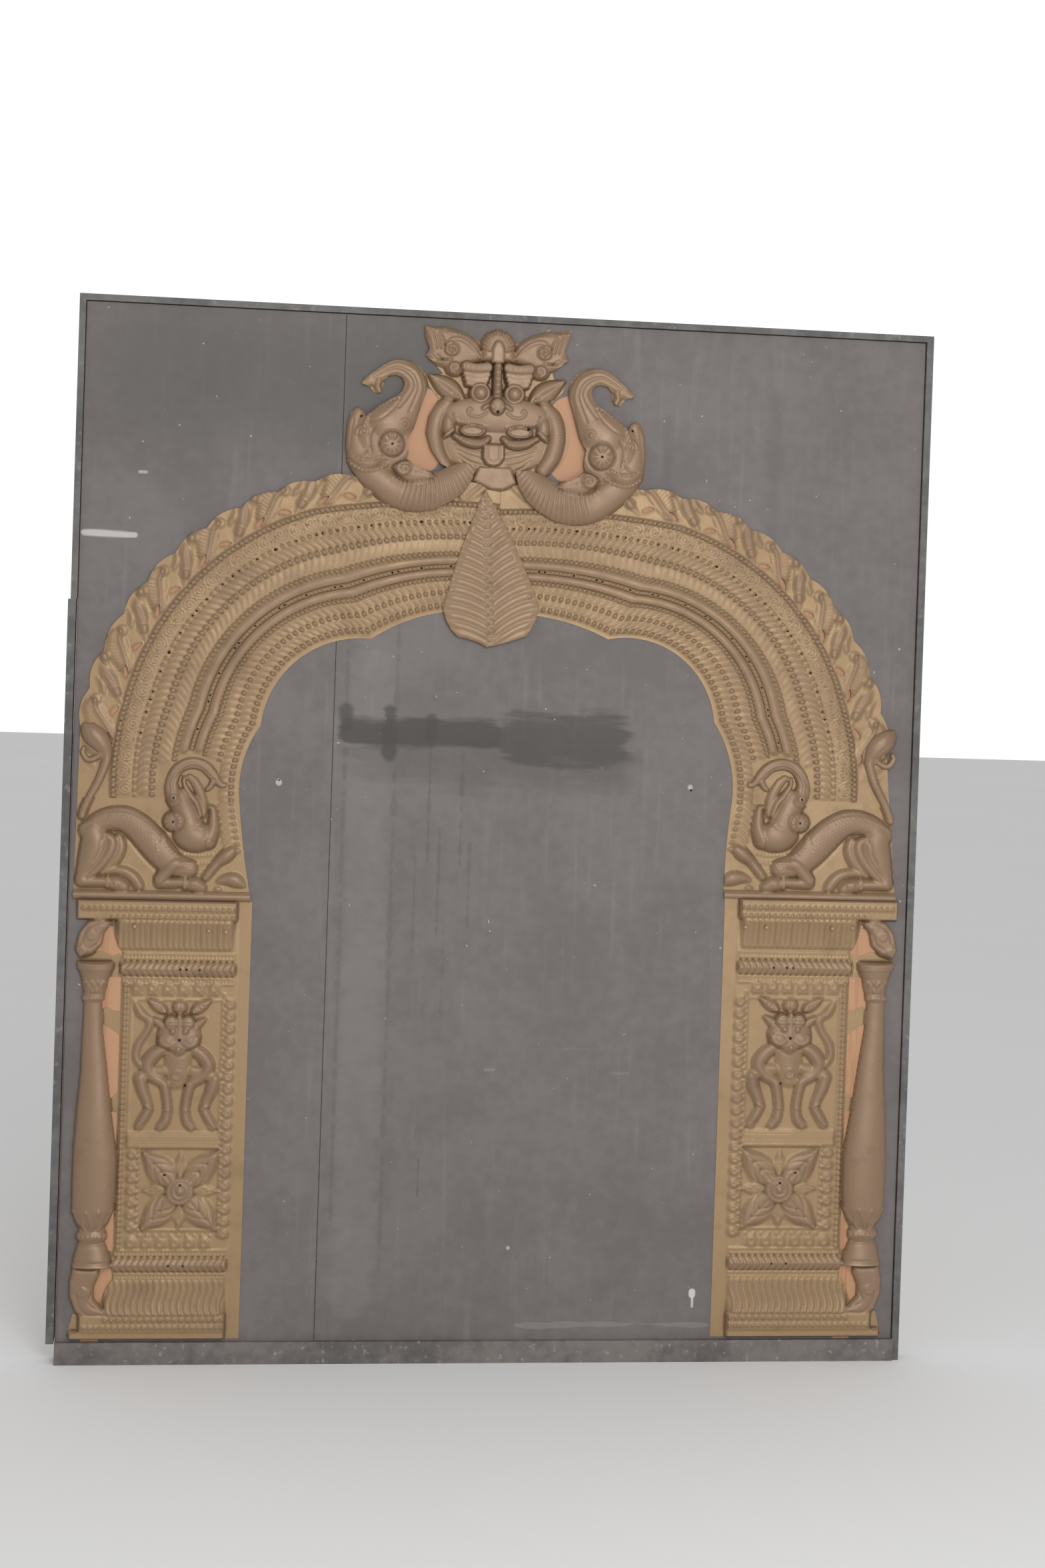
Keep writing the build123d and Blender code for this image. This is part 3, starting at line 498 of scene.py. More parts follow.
    def spiral(self, x: float, z: float, radius: float, lift: float, hand: int = 1,
            start: float = 0.0) -> None:
        """Add a raised spiral.

        Args:
            x: Centre across.
            z: Centre up.
            radius: Outer radius.
            lift: Height of its line.
            hand: 1 or -1 for the way that it winds.
            start: Angle of its outer end, in degrees.
        """
        points = []
        for share in np.linspace(0, 1, 14):
            angle = math.radians(start + hand * 360 * SPIRAL_TURNS * share)
            reach = radius * (1 - 0.85 * share)
            points.append((x + reach * math.cos(angle), z + reach * math.sin(angle)))
        self.line(points, max(radius * 0.2, 1.8), lift, 3)

    def rosette(self, x: float, z: float, radius: float, petals: int, lift: float) -> None:
        """Raise a round flower with a pin hole in its middle.

        Args:
            x: Centre across.
            z: Centre up.
            radius: Outer radius.
            petals: How many petals it has.
            lift: How far it stands out.
        """
        area, along, up = self.window(x - radius, x + radius, z - radius, z + radius)
        share = np.hypot(along - x, up - z) / radius
        lobes = np.abs(np.cos(np.arctan2(up - z, along - x) * petals / 2)) ** 0.7
        self.height[area] += lift * rounded(share, 0.4) * (0.35 + 0.65 * lobes * np.clip(share * 2.5, 0, 1))
        self.ring(x, z, radius * 1.1, radius * 0.13, -0.3 * lift)
        self.dome(x, z, radius * 0.3, radius * 0.3, lift * 0.3)

    def feather(self, start: Sequence[float], end: Sequence[float], width: float, lift: float, veins: float,
                floor: float = SHEET, lean: float = 0.35) -> None:
        """Raise a pointed leaf with a keel and slanting veins.

        Args:
            start: Its root.
            end: Its tip.
            width: Its greatest width.
            lift: How far its keel stands out.
            veins: How many veins it has along its length.
            floor: Height that it rises from.
            lean: How far the veins lean to the tip, as a share of the length.
        """
        root, tip = np.array(start, float), np.array(end, float)
        way = tip - root
        length = math.hypot(*way)
        reach = length / 2 + width
        middle = (root + tip) / 2
        area, x, z = self.window(middle[0] - reach, middle[0] + reach, middle[1] - reach, middle[1] + reach)
        along = ((x - root[0]) * way[0] + (z - root[1]) * way[1]) / length ** 2
        across = ((z - root[1]) * way[0] - (x - root[0]) * way[1]) / length
        half = width / 2 * np.sin(np.pi * np.clip(along, 0, 1) ** 0.8)
        share = np.where((along > 0) & (along < 1), across / np.clip(half, 0.5, None), 2.0)
        wave = np.cos(2 * np.pi * veins * (along - lean * np.abs(share)))
        rise = rounded(share, 0.6) * (0.82 + 0.18 * wave) - 0.22 * rounded(share / 0.12, 1.0)
        self.height[area] = np.where(np.abs(share) < 1, np.maximum(self.height[area], floor + lift * rise),
                                     self.height[area])

    def pad(self, outline: Line, lift: float, soft: float, floor: float = SHEET) -> None:
        """Raise a field with a rounded edge.

        Args:
            outline: The corners of the field.
            lift: How far it stands out.
            soft: Width of its rounded edge.
            floor: Height that it rises from.
        """
        area, x, z = self.around(outline)
        inside = np.clip(-outline_distance(x, z, outline) / soft, 0, 1)
        raised = np.where(inside > 0, floor + lift * rounded(1 - inside, 0.5), 0)
        self.height[area] = np.maximum(self.height[area], raised)

    def stipple(self, outline: Line, pitch: float, radius: float, lift: float, turn: float = 0.0) -> None:
        """Fill an outline with rows of punched dots.

        Args:
            outline: The corners of the field.
            pitch: Spacing of the dots.
            radius: Radius of a dot.
            lift: How far each stands out.
            turn: Angle of the rows, in degrees.
        """
        area, x, z = self.around(outline)
        cosine, sine = math.cos(math.radians(turn)), math.sin(math.radians(turn))
        along = (x * cosine + z * sine) / pitch
        up = (z * cosine - x * sine) / pitch
        along = along + 0.5 * np.mod(np.rint(up), 2)
        gap = np.hypot(along - np.rint(along), up - np.rint(up)) * pitch
        inside = outline_distance(x, z, outline) < -radius
        self.height[area] += np.where(inside, lift * rounded(gap / radius, 1.0), 0)

    def keep(self, outline: Line) -> None:
        """Let the sheet exist inside an outline."""
        area, x, z = self.around(outline, 4 * self.pitch)
        self.edge[area] = np.minimum(self.edge[area], outline_distance(x, z, outline))

    def pierce(self, outline: Line) -> None:
        """Cut an opening with this outline out of the sheet."""
        area, x, z = self.around(outline, 4 * self.pitch)
        self.edge[area] = np.maximum(self.edge[area], -outline_distance(x, z, outline))

    def pin_hole(self, x: float, z: float, radius: float = 2.4) -> None:
        """Prick a nail hole.

        Args:
            x: Centre across.
            z: Centre up.
            radius: Radius of the hole.
        """
        area, along, up = self.window(x - 2 * radius, x + 2 * radius, z - 2 * radius, z + 2 * radius)
        share = np.hypot(along - x, up - z) / (radius * 1.3)
        self.pit[area] = np.maximum(self.pit[area], rounded(share, 0.5))
        self.height[area] -= 2.0 * rounded(share, 1.0)

    def flutes(self, left: float, right: float, foot: float, top: float, count: float, lift: float,
               sway: float = 0.0) -> None:
        """Add upright flutes across a field.

        Args:
            left: Left end.
            right: Right end.
            foot: Lower end.
            top: Upper end.
            count: How many flutes there are.
            lift: Height of a flute.
            sway: How far a flute swings sideways on its way up, in millimetres.
        """
        area, x, z = self.window(left, right, foot, top)
        up = (z - foot) / (top - foot)
        phase = (x - left + sway * np.sin(2 * np.pi * up)) / (right - left) * count
        inside = (x >= left) & (x <= right) & (z >= foot) & (z <= top)
        self.height[area] += np.where(inside, lift * np.abs(np.sin(np.pi * phase)) ** 0.8, 0)

    def shelf(self, left: float, right: float, foot: float, top: float, low: float, high: float,
            bend: float = 1.0, soft: float = 0.1) -> None:
        """Raise a field that rises from its foot to its top.

        Args:
            left: Left end.
            right: Right end.
            foot: Lower end.
            top: Upper end.
            low: Height at the foot.
            high: Height at the top.
            bend: Above 1 for a hollow slope.
            soft: Width over which its ends run out.
        """
        area, x, z = self.window(left, right, foot, top)
        up = np.clip((z - foot) / (top - foot), 0, 1)
        inside = (x >= left) & (x <= right) & (z >= foot) & (z <= top)
        ends = np.clip(np.minimum(x - left, right - x) / soft, 0, 1) ** 0.6
        slope = low + (high - low) * up ** bend if high > low else high + (low - high) * (1 - up) ** bend
        level = SHEET + (slope - SHEET) * ends
        for heights in (self.height, self.level):
            heights[area] = np.where(inside, np.maximum(heights[area], level), heights[area])

    def roll(self, left: float, right: float, middle: float, radius: float, lift: float) -> None:
        """Raise a half-round bar across a field.

        Args:
            left: Left end.
            right: Right end.
            middle: Height of its middle line.
            radius: Half its width.
            lift: How far it stands out.
        """
        area, x, z = self.window(left, right, middle - radius, middle + radius)
        rise = np.where((x >= left) & (x <= right), SHEET + lift * rounded((z - middle) / radius, 0.6), 0)
        self.height[area] = np.maximum(self.height[area], rise)

    def sheet(self, place: Callable[[Array, Array], tuple]) -> GridSheet:
        """Give the finished grid, set where it belongs on the board.

        Args:
            place: Turns drawing places into places on the board.

        Returns:
            The grid, ready to be made a mesh.
        """
        across, up = np.meshgrid(self.x, self.z)
        x, z = place(across, up)
        grid = GridSheet(x, z, self.height, self.edge, self.pit, self.level)
        grid.soften(1)
        return grid


class NodeDesk:
    """Lays out nodes in a material or a node group."""

    def __init__(self, tree: Tree) -> None:
        """Take the tree to work on."""
        self.tree = tree

    def add(self, kind: str, **settings: object) -> bpy.types.Node:
        """Add a node.

        Args:
            kind: The node's type.
            settings: Its properties.

        Returns:
            The node.
        """
        node = self.tree.nodes.new(kind)
        for name, value in settings.items():
            setattr(node, name, value)
        return node

    def feed(self, socket: Socket, value: object) -> None:
        """Link a socket to another one, or give it a constant.

        Args:
            socket: The socket that takes the value.
            value: A socket, a number or a tuple.
        """
        if isinstance(value, Socket):
            self.tree.links.new(value, socket)
        else:
            socket.default_value = value

    def compute(self, operation: str, first: object, second: object = 0.0) -> Socket:
        """Add a sum.

        Args:
            operation: What is done.
            first: The first value.
            second: The second value.

        Returns:
            The result.
        """
        node = self.add("ShaderNodeMath", operation=operation)
        self.feed(node.inputs[0], first)
        self.feed(node.inputs[1], second)
        return node.outputs[0]

    def steer(self, operation: str, *values: Socket) -> Socket:
        """Add a sum of vectors.

        Args:
            operation: What is done.
            values: The vectors.

        Returns:
            The result, which is a number where a length is taken.
        """
        node = self.add("ShaderNodeVectorMath", operation=operation)
        for socket, value in zip(node.inputs, values):
            self.feed(socket, value)
        return node.outputs["Value" if operation == "LENGTH" else "Vector"]

    def span(self, value: object, low: float, high: float, top: float = 1.0) -> Socket:
        """Turn a stretch of values smoothly into 0 to top.

        Args:
            value: The value.
            low: Where it gives 0.
            high: Where it gives top.
            top: The greatest result.

        Returns:
            The result.
        """
        node = self.add("ShaderNodeMapRange", interpolation_type="SMOOTHSTEP")
        for name, number in (("From Min", low), ("From Max", high), ("To Min", 0.0), ("To Max", top)):
            node.inputs[name].default_value = number
        self.feed(node.inputs["Value"], value)
        return node.outputs["Result"]

    def blend(self, share: object, first: object, second: object) -> Socket:
        """Mix two colours.

        Args:
            share: How much of the second there is.
            first: The first colour.
            second: The second colour.

        Returns:
            The mixed colour.
        """
        node = self.add("ShaderNodeMix", data_type="RGBA")
        self.feed(node.inputs[0], share)
        for socket, colour in ((node.inputs[6], first), (node.inputs[7], second)):
            self.feed(socket, (*colour, 1.0) if isinstance(colour, tuple) else colour)
        return node.outputs[2]

    def noise(self, place: object, scale: float, detail: float = 3.0, stretch: Optional[tuple] = None,
              shift: float = 0.0) -> Socket:
        """Add a cloud pattern.

        Args:
            place: Coordinates.
            scale: How fine it is.
            detail: How many finer layers it has.
            stretch: Scale along each axis.
            shift: Moves the pattern.

        Returns:
            Values about 0.5.
        """
        mapping = self.add("ShaderNodeMapping")
        mapping.inputs["Scale"].default_value = stretch or (1.0, 1.0, 1.0)
        mapping.inputs["Location"].default_value = (shift, 0.7 * shift, 1.3 * shift)
        self.feed(mapping.inputs["Vector"], place)
        node = self.add("ShaderNodeTexNoise")
        node.inputs["Scale"].default_value = scale
        node.inputs["Detail"].default_value = detail
        self.feed(node.inputs["Vector"], mapping.outputs["Vector"])
        return node.outputs["Fac"]

    def group(self, tree: Tree, **values: object) -> Socket:
        """Add a node group.

        Args:
            tree: The group.
            values: What its inputs take.

        Returns:
            Its first output.
        """
        node = self.add("ShaderNodeGroup", node_tree=tree)
        for name, value in values.items():
            self.feed(node.inputs[name.replace("_", " ").capitalize()], value)
        return node.outputs[0]


@dataclass(frozen=True)
class SharedEffects:
    """The node groups that several finishes use."""

    mark: Tree
    mottle: Tree

    @classmethod
    def make(cls) -> "SharedEffects":
        """Make the groups."""
        return cls(cls.make_mark(), cls.make_mottle())

    @staticmethod
    def make_mark() -> Tree:
        """Make the mask of a soft mark with round corners, its edge broken up by a cloud pattern."""
        tree = bpy.data.node_groups.new("mark", "ShaderNodeTree")
        for name, kind in (("Place", "NodeSocketVector"), ("Centre", "NodeSocketVector"),
                           ("Half", "NodeSocketVector"), ("Corner", "NodeSocketFloat"),
                           ("Soft", "NodeSocketFloat"), ("Ragged", "NodeSocketFloat")):
            tree.interface.new_socket(name, in_out="INPUT", socket_type=kind)
        tree.interface.new_socket("Mask", in_out="OUTPUT", socket_type="NodeSocketFloat")
        desk = NodeDesk(tree)
        entry = desk.add("NodeGroupInput")
        away = desk.steer("SUBTRACT", entry.outputs["Place"], entry.outputs["Centre"])
        over = desk.steer("SUBTRACT", desk.steer("ABSOLUTE", away), entry.outputs["Half"])
        reach = desk.steer("LENGTH", desk.steer("MAXIMUM", over))
        outside = desk.compute("SUBTRACT", reach, entry.outputs["Corner"])
        cloud = desk.compute("SUBTRACT", desk.noise(entry.outputs["Place"], 46.0, 4.0, (0.14, 1.0, 1.0)),
            0.5)
        outside = desk.compute("ADD", outside, desk.compute("MULTIPLY", cloud, entry.outputs["Ragged"]))
        share = desk.compute("DIVIDE", outside, entry.outputs["Soft"])
        mask = desk.span(desk.compute("MULTIPLY", share, -1.0), -0.5, 0.5)
        leave = desk.add("NodeGroupOutput")
        desk.feed(leave.inputs[0], mask)
        return tree

    @staticmethod
    def make_mottle() -> Tree:
        """Make the mask of an uneven, cloudy surface."""
        tree = bpy.data.node_groups.new("mottle", "ShaderNodeTree")
        tree.interface.new_socket("Place", in_out="INPUT", socket_type="NodeSocketVector")
        tree.interface.new_socket("Mask", in_out="OUTPUT", socket_type="NodeSocketFloat")
        desk = NodeDesk(tree)
        entry = desk.add("NodeGroupInput")
        broad = desk.noise(entry.outputs["Place"], 5.0, 4.0)
        fine = desk.noise(entry.outputs["Place"], 42.0, 5.0, shift=3.0)
        both = desk.compute("ADD", desk.compute("MULTIPLY", broad, 0.6),
            desk.compute("MULTIPLY", fine, 0.4))
        leave = desk.add("NodeGroupOutput")
        desk.feed(leave.inputs[0], desk.span(both, 0.36, 0.64))
        return tree


class Finish:
    """A material being made."""

    def __init__(self, name: str) -> None:
        """Start a material.

        Args:
            name: The material's name.
        """
        self.material = bpy.data.materials.new(name)
        self.material.use_nodes = True
        self.desk = NodeDesk(self.material.node_tree)
        self.surface = self.material.node_tree.nodes["Principled BSDF"]
        self.place = self.desk.add("ShaderNodeTexCoord").outputs["Object"]

    def read(self, label: str) -> Socket:
        """Read a value kept on the mesh's points."""
        return self.desk.add("ShaderNodeAttribute", attribute_name=label).outputs["Fac"]

    def bump(self, height: Socket, distance: float, strength: float) -> None:
        """Roughen the surface.

        Args:
            height: The pattern.
            distance: Its depth in metres.
            strength: Its share.
        """
        node = self.desk.add("ShaderNodeBump")
        node.inputs["Distance"].default_value = distance
        node.inputs["Strength"].default_value = strength
        self.desk.feed(node.inputs["Height"], height)
        self.desk.feed(self.surface.inputs["Normal"], node.outputs["Normal"])

    def colour(self, value: object) -> None:
        """Set the surface's colour."""
        self.desk.feed(self.surface.inputs["Base Color"], value)


@dataclass(frozen=True)
class AgedBrass:
    """Embossed sheet, golden on its grounds, brown where it is raised, dark in its folds from dirt and
    painted shade, lighter on its crests from wear and a painted highlight, with painted shade in its pin
    holes.
    """

    name: str
    raised: tuple = (0.268, 0.172, 0.106)
    ground: tuple = (0.338, 0.222, 0.114)
    # Dark colour of the folds: dirt, and painted shade in the hollows.
    fold_dirt_and_shade: tuple = (0.105, 0.062, 0.034)
    # Colour of the crests: rubbed wear, and a painted highlight.
    wear_and_highlight: tuple = (0.43, 0.31, 0.20)
    fleck: tuple = (0.40, 0.36, 0.26)
    # Near black painted shade inside the pin holes.
    hole: tuple = (0.004, 0.003, 0.003)
    metallic: float = 0.3
    roughness: float = 0.4
    roughness_swing: float = 0.14
    bump: tuple = (0.0009, 0.35)

    def make(self, effects: SharedEffects) -> Material:
        """Make the material.

        Args:
            effects: The shared node groups.

        Returns:
            The material.
        """
        finish = Finish(self.name)
        desk = finish.desk
        relief = finish.read("relief")
        cavity = finish.read("cavity")
        cloud = desk.group(effects.mottle, place=finish.place)
        stand = desk.compute("ADD", desk.compute("MULTIPLY", relief, 0.13),
            desk.compute("MULTIPLY", cavity, -0.75))
        tone = desk.compute("ADD", stand, desk.compute("MULTIPLY", cloud, 0.5))
        colour = desk.blend(desk.span(tone, 0.4, 1.9), self.ground, self.raised)
        # Darker in the hollows: partly dirt in the folds, partly painted shade.
        colour = desk.blend(desk.span(cavity, 0.2, 1.7, 0.65), colour, self.fold_dirt_and_shade)
        # Lighter on the crests: partly rubbed wear, partly a painted highlight.
        ridge = desk.span(desk.compute("MULTIPLY", cavity, -1.0), 0.5, 1.8, 0.25)
        colour = desk.blend(ridge, colour, self.wear_and_highlight)
        stain = desk.span(desk.noise(finish.place, 17.0, 5.0, shift=8.0), 0.54, 0.74, 0.22)
        colour = desk.blend(stain, colour, self.fold_dirt_and_shade)
        speck = desk.span(desk.noise(finish.place, 150.0, 3.0, shift=5.0), 0.68, 0.76, 0.4)
        colour = desk.blend(speck, colour, self.fleck)
        # The pin holes are painted near black, as painted shade inside them.
        finish.colour(desk.blend(desk.span(finish.read("pit"), 0.25, 0.6), colour, self.hole))
        rough = desk.compute("ADD", desk.compute("MULTIPLY", cloud, self.roughness_swing), self.roughness)
        desk.feed(finish.surface.inputs["Roughness"], rough)
        finish.surface.inputs["Metallic"].default_value = self.metallic
        finish.bump(desk.noise(finish.place, 260.0, 4.0, shift=2.0), *self.bump)
        return finish.material


@dataclass(frozen=True)
class Mark:
    """One soft mark on the board, in millimetres."""

    x: float
    z: float
    half_x: float
    half_z: float
    soft: float
    ragged: float
    share: float
    colour: tuple

    def lay(self, finish: Finish, effects: SharedEffects, below: object) -> Socket:
        """Lay the mark over a colour.

        Args:
            finish: The material being made.
            effects: The shared node groups.
            below: The colour so far.

        Returns:
            The colour with the mark.
        """
        corner = min(self.half_x, self.half_z)
        mask = finish.desk.group(
            effects.mark, place=finish.place, centre=(self.x * MM, 0.0, self.z * MM),
            half=((self.half_x - corner) * MM, 1.0, (self.half_z - corner) * MM), corner=corner * MM,
            soft=self.soft * MM, ragged=self.ragged * MM)
        return finish.desk.blend(finish.desk.compute("MULTIPLY", mask, self.share), below, self.colour)


SMEAR = (0.050, 0.043, 0.038)
# Dark grey of the paint runs, also used for the painted shade over the board's upper left.
RUN_AND_SHADE = (0.085, 0.078, 0.072)
CHALK = (0.62, 0.60, 0.57)
PALE = (0.27, 0.255, 0.24)
BARE = (0.50, 0.272, 0.15)
BOARD_MARKS = (
    # The first mark is painted shade: a broad soft darkening over the board's upper left.
    Mark(-450, 2040, 430, 150, 220, 60, 0.6, RUN_AND_SHADE), Mark(-278, 800, 44, 700, 30, 70, 0.18, PALE),
    Mark(-328, 930, 3, 630, 6, 34, 0.36, RUN_AND_SHADE),
    Mark(-224, 880, 3, 690, 6, 34, 0.36, RUN_AND_SHADE), Mark(-150, 1170, 2.5, 120, 5, 20, 0.45, RUN_AND_SHADE),
    Mark(-126, 1000, 2.5, 120, 5, 20, 0.4, RUN_AND_SHADE), Mark(-112, 820, 2.5, 100, 5, 20, 0.35, RUN_AND_SHADE),
    Mark(-82, 1160, 2.5, 120, 5, 20, 0.45, RUN_AND_SHADE), Mark(-62, 1000, 2.5, 90, 5, 20, 0.4, RUN_AND_SHADE),
    Mark(-175, 960, 2.5, 100, 5, 20, 0.35, RUN_AND_SHADE), Mark(-148, 385, 1.5, 42, 3, 6, 0.6, RUN_AND_SHADE),
    Mark(-172, 1316, 172, 29, 16, 44, 0.85, SMEAR), Mark(-237, 1312, 13, 60, 12, 30, 0.8, SMEAR),
    Mark(-150, 1325, 12, 34, 12, 30, 0.75, SMEAR), Mark(-328, 1345, 13, 30, 12, 30, 0.7, SMEAR),
    Mark(129, 1309, 140, 52, 30, 110, 0.7, SMEAR), Mark(-20, 1262, 300, 50, 60, 120, 0.3, SMEAR),
    Mark(330, 1850, 10, 150, 20, 30, 0.25, RUN_AND_SHADE), Mark(560, 1900, 14, 160, 24, 30, 0.25, RUN_AND_SHADE),
    Mark(275, 76, 205, 2.5, 4, 60, 0.4, PALE), Mark(180, 660, 30, 2, 4, 16, 0.3, PALE),
    Mark(270, 610, 24, 3, 5, 16, 0.3, PALE), Mark(-5, 614, 12, 2.5, 4, 8, 0.5, PALE),
    Mark(-824, 1705, 56, 5, 5, 16, 0.7, CHALK), Mark(-760, 1835, 9, 2.5, 4, 6, 0.5, CHALK),
    Mark(444, 143, 7, 10, 4, 4, 0.9, CHALK), Mark(445, 124, 2.5, 12, 3, 4, 0.8, CHALK),
    Mark(-463, 1205, 6, 6, 4, 6, 0.6, CHALK), Mark(403, 1217, 5, 5, 4, 6, 0.6, CHALK),
    Mark(47, 240, 4, 4, 4, 6, 0.6, CHALK), Mark(-354, 1100, 1.0, 1100, 2, 2, 0.5, SMEAR),
    Mark(-798, 500, 30, 400, 2, 4, 1.0, BARE), Mark(790, 512, 34, 412, 2, 4, 1.0, BARE),
    Mark(-188, 1945, 38, 88, 2, 6, 1.0, BARE), Mark(120, 1940, 44, 90, 2, 6, 1.0, BARE),
)


@dataclass(frozen=True)
class BoardPaint:
    """Matt dark paint on plywood, stained and chalked, with painted shade over its upper left, bare in the
    metal's openings and on its back.
    """

    name: str
    dark: tuple = (0.132, 0.116, 0.111)
    light: tuple = (0.162, 0.143, 0.137)
    marks: tuple = BOARD_MARKS
    back: tuple = (0.40, 0.27, 0.155)
    back_grain: tuple = (0.30, 0.185, 0.10)
    front_skin: tuple = (-40.0, -43.0)
    arch_axis: float = -22.0
    ring_centre: tuple = (222.0, 1240.0)
    ring_low: float = 552.0
    ring_high: float = 590.0
    warm: tuple = (0.33, 0.14, 0.06)
    roughness: float = 0.62
    bump: tuple = (0.0006, 0.3)

    def make(self, effects: SharedEffects) -> Material:
        """Make the material.

        Args:
            effects: The shared node groups.

        Returns:
            The material.
        """
        finish = Finish(self.name)
        desk = finish.desk
        cloud = desk.group(effects.mottle, place=finish.place)
        brushed = desk.noise(finish.place, 60.0, 4.0, stretch=(1.0, 1.0, 0.06), shift=4.0)
        colour = desk.blend(cloud, self.dark, self.light)
        colour = desk.blend(desk.span(brushed, 0.56, 0.78, 0.2), colour, PALE)
        for mark in self.marks:
            colour = mark.lay(finish, effects, colour)
        bare = self.ring(finish)
        colour = desk.blend(bare, colour, BARE)
        grain = desk.noise(finish.place, 240.0, 3.0, stretch=(1.0, 1.0, 0.05), shift=7.0)
        warm = desk.compute("MULTIPLY", desk.span(grain, 0.4, 0.65), bare)
        colour = desk.blend(desk.compute("MULTIPLY", warm, 0.4), colour, self.warm)
        speck = desk.span(desk.noise(finish.place, 95.0, 2.0, shift=9.0), 0.76, 0.785, 0.5)
        colour = desk.blend(speck, colour, CHALK)
        parts = desk.add("ShaderNodeSeparateXYZ")
        desk.feed(parts.inputs[0], finish.place)
        front = desk.span(parts.outputs["Y"], self.front_skin[0] * MM, self.front_skin[1] * MM)
        plain = desk.blend(desk.span(grain, 0.35, 0.7), self.back, self.back_grain)
        finish.colour(desk.blend(front, plain, colour))
        finish.surface.inputs["Roughness"].default_value = self.roughness
        finish.bump(brushed, *self.bump)
        return finish.material

    def ring(self, finish: Finish) -> Socket:
        """Give the mask of the bare wood behind the pierced border."""
        desk = finish.desk
        parts = desk.add("ShaderNodeSeparateXYZ")
        desk.feed(parts.inputs[0], finish.place)
        across = desk.compute("ABSOLUTE", desk.compute("SUBTRACT", parts.outputs["X"], self.arch_axis * MM))
        run = desk.compute("MAXIMUM", desk.compute("SUBTRACT", across, self.ring_centre[0] * MM), 0.0)
        rise = desk.compute("MAXIMUM", desk.compute("SUBTRACT", parts.outputs["Z"],
            self.ring_centre[1] * MM), 0.0)
        square = desk.compute("ADD", desk.compute("MULTIPLY", run, run),
            desk.compute("MULTIPLY", rise, rise))
        away = desk.compute("SQRT", square)
        inner = desk.span(away, self.ring_low * MM, (self.ring_low + 2) * MM)
        outer = desk.span(away, self.ring_high * MM, (self.ring_high - 2) * MM)
        return desk.compute("MULTIPLY", inner, outer)


@dataclass(frozen=True)
class TimberPaint:
    """Scuffed grey paint on the strips and the rail."""

    name: str
    dark: tuple
    light: tuple
    scuff: tuple
    scuff_share: float
    roughness: float = 0.6
    bump: tuple = (0.0008, 0.35)

    def make(self, effects: SharedEffects) -> Material:
        """Make the material.

        Args:
            effects: The shared node groups.

        Returns:
            The material.
        """
        finish = Finish(self.name)
        desk = finish.desk
        cloud = desk.group(effects.mottle, place=finish.place)
        scratch = desk.noise(finish.place, 70.0, 5.0, shift=6.0)
        colour = desk.blend(cloud, self.dark, self.light)
        finish.colour(desk.blend(desk.span(scratch, 0.58, 0.72, self.scuff_share), colour, self.scuff))
        finish.surface.inputs["Roughness"].default_value = self.roughness
        finish.bump(scratch, *self.bump)
        return finish.material


@dataclass(frozen=True)
class SawnTimber:
    """Bare sawn softwood."""

    name: str
    early: tuple = (0.50, 0.33, 0.19)
    late: tuple = (0.30, 0.17, 0.085)
    roughness: float = 0.75
    bump: tuple = (0.0008, 0.4)

    def make(self, effects: SharedEffects) -> Material:
        """Make the material.

        Args:
            effects: The shared node groups.

        Returns:
            The material.
        """
        finish = Finish(self.name)
        desk = finish.desk
        grain = desk.noise(finish.place, 90.0, 4.0, stretch=(1.0, 1.0, 0.08), shift=1.0)
        colour = desk.blend(desk.span(grain, 0.35, 0.65), self.early, self.late)
        dirt = desk.compute("MULTIPLY", desk.group(effects.mottle, place=finish.place), 0.3)
        finish.colour(desk.blend(dirt, colour, self.late))
        finish.surface.inputs["Roughness"].default_value = self.roughness
        finish.bump(grain, *self.bump)
        return finish.material


def mount(piece: Piece, material: Material) -> None:
    """Give a new piece its finish and fix it to the board.

    Args:
        piece: The piece.
        material: Its finish.
    """
    piece.data.materials.clear()
    piece.data.materials.append(material)
    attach(piece, "root")
    LOG.info("%s: %d faces", piece.name, len(piece.data.polygons))


def arc_points(start: Array, middle: Array, end: Array, shares: Array) -> Array:
    """Lay points along arcs, one arc a row.

    Args:
        start: First points, one a row.
        middle: Points that the arcs pass through.
        end: Last points.
        shares: Where on each arc the points lie, from 0 to 1.

    Returns:
        The points, by arc and share.
    """
    first, second = middle - start, end - start
    turn = 2 * (first[:, 0] * second[:, 1] - first[:, 1] * second[:, 0])
    turn = np.where(np.abs(turn) < TINY, TINY, turn)
    first_square, second_square = (first ** 2).sum(axis=1), (second ** 2).sum(axis=1)
    centre = start + np.stack([(second[:, 1] * first_square - first[:, 1] * second_square) / turn,
                               (first[:, 0] * second_square - second[:, 0] * first_square) / turn], axis=1)
    radius = np.hypot(*(start - centre).T)
    low = np.arctan2(start[:, 1] - centre[:, 1], start[:, 0] - centre[:, 0])
    high = np.arctan2(end[:, 1] - centre[:, 1], end[:, 0] - centre[:, 0])
    sweep = np.where(turn > 0, np.mod(high - low, 2 * np.pi), -np.mod(low - high, 2 * np.pi))
    angle = low[:, None] + sweep[:, None] * shares[None, :]
    return centre[:, None, :] + radius[:, None, None] * np.stack([np.cos(angle), np.sin(angle)], axis=2)


@dataclass(frozen=True)
class Fit:
    """Fits a form drawn as on the left to the right side, where it is mirrored and has its own size."""

    drawn: tuple
    placed: tuple
    wide: tuple
    tall: tuple

    def place(self, side: Side, x: Array, z: Array) -> tuple:
        """Turn drawing places into places on one side of the board.

        Args:
            side: The side.
            x: Drawing places across.
            z: Drawing places up.

        Returns:
            Places across and up.
        """
        if side is Side.LEFT:
            return x, z
        across = self.placed[0] - (x - self.drawn[0]) * self.wide[0] / self.wide[1]
        return across, self.placed[1] + (z - self.drawn[1]) * self.tall[0] / self.tall[1]


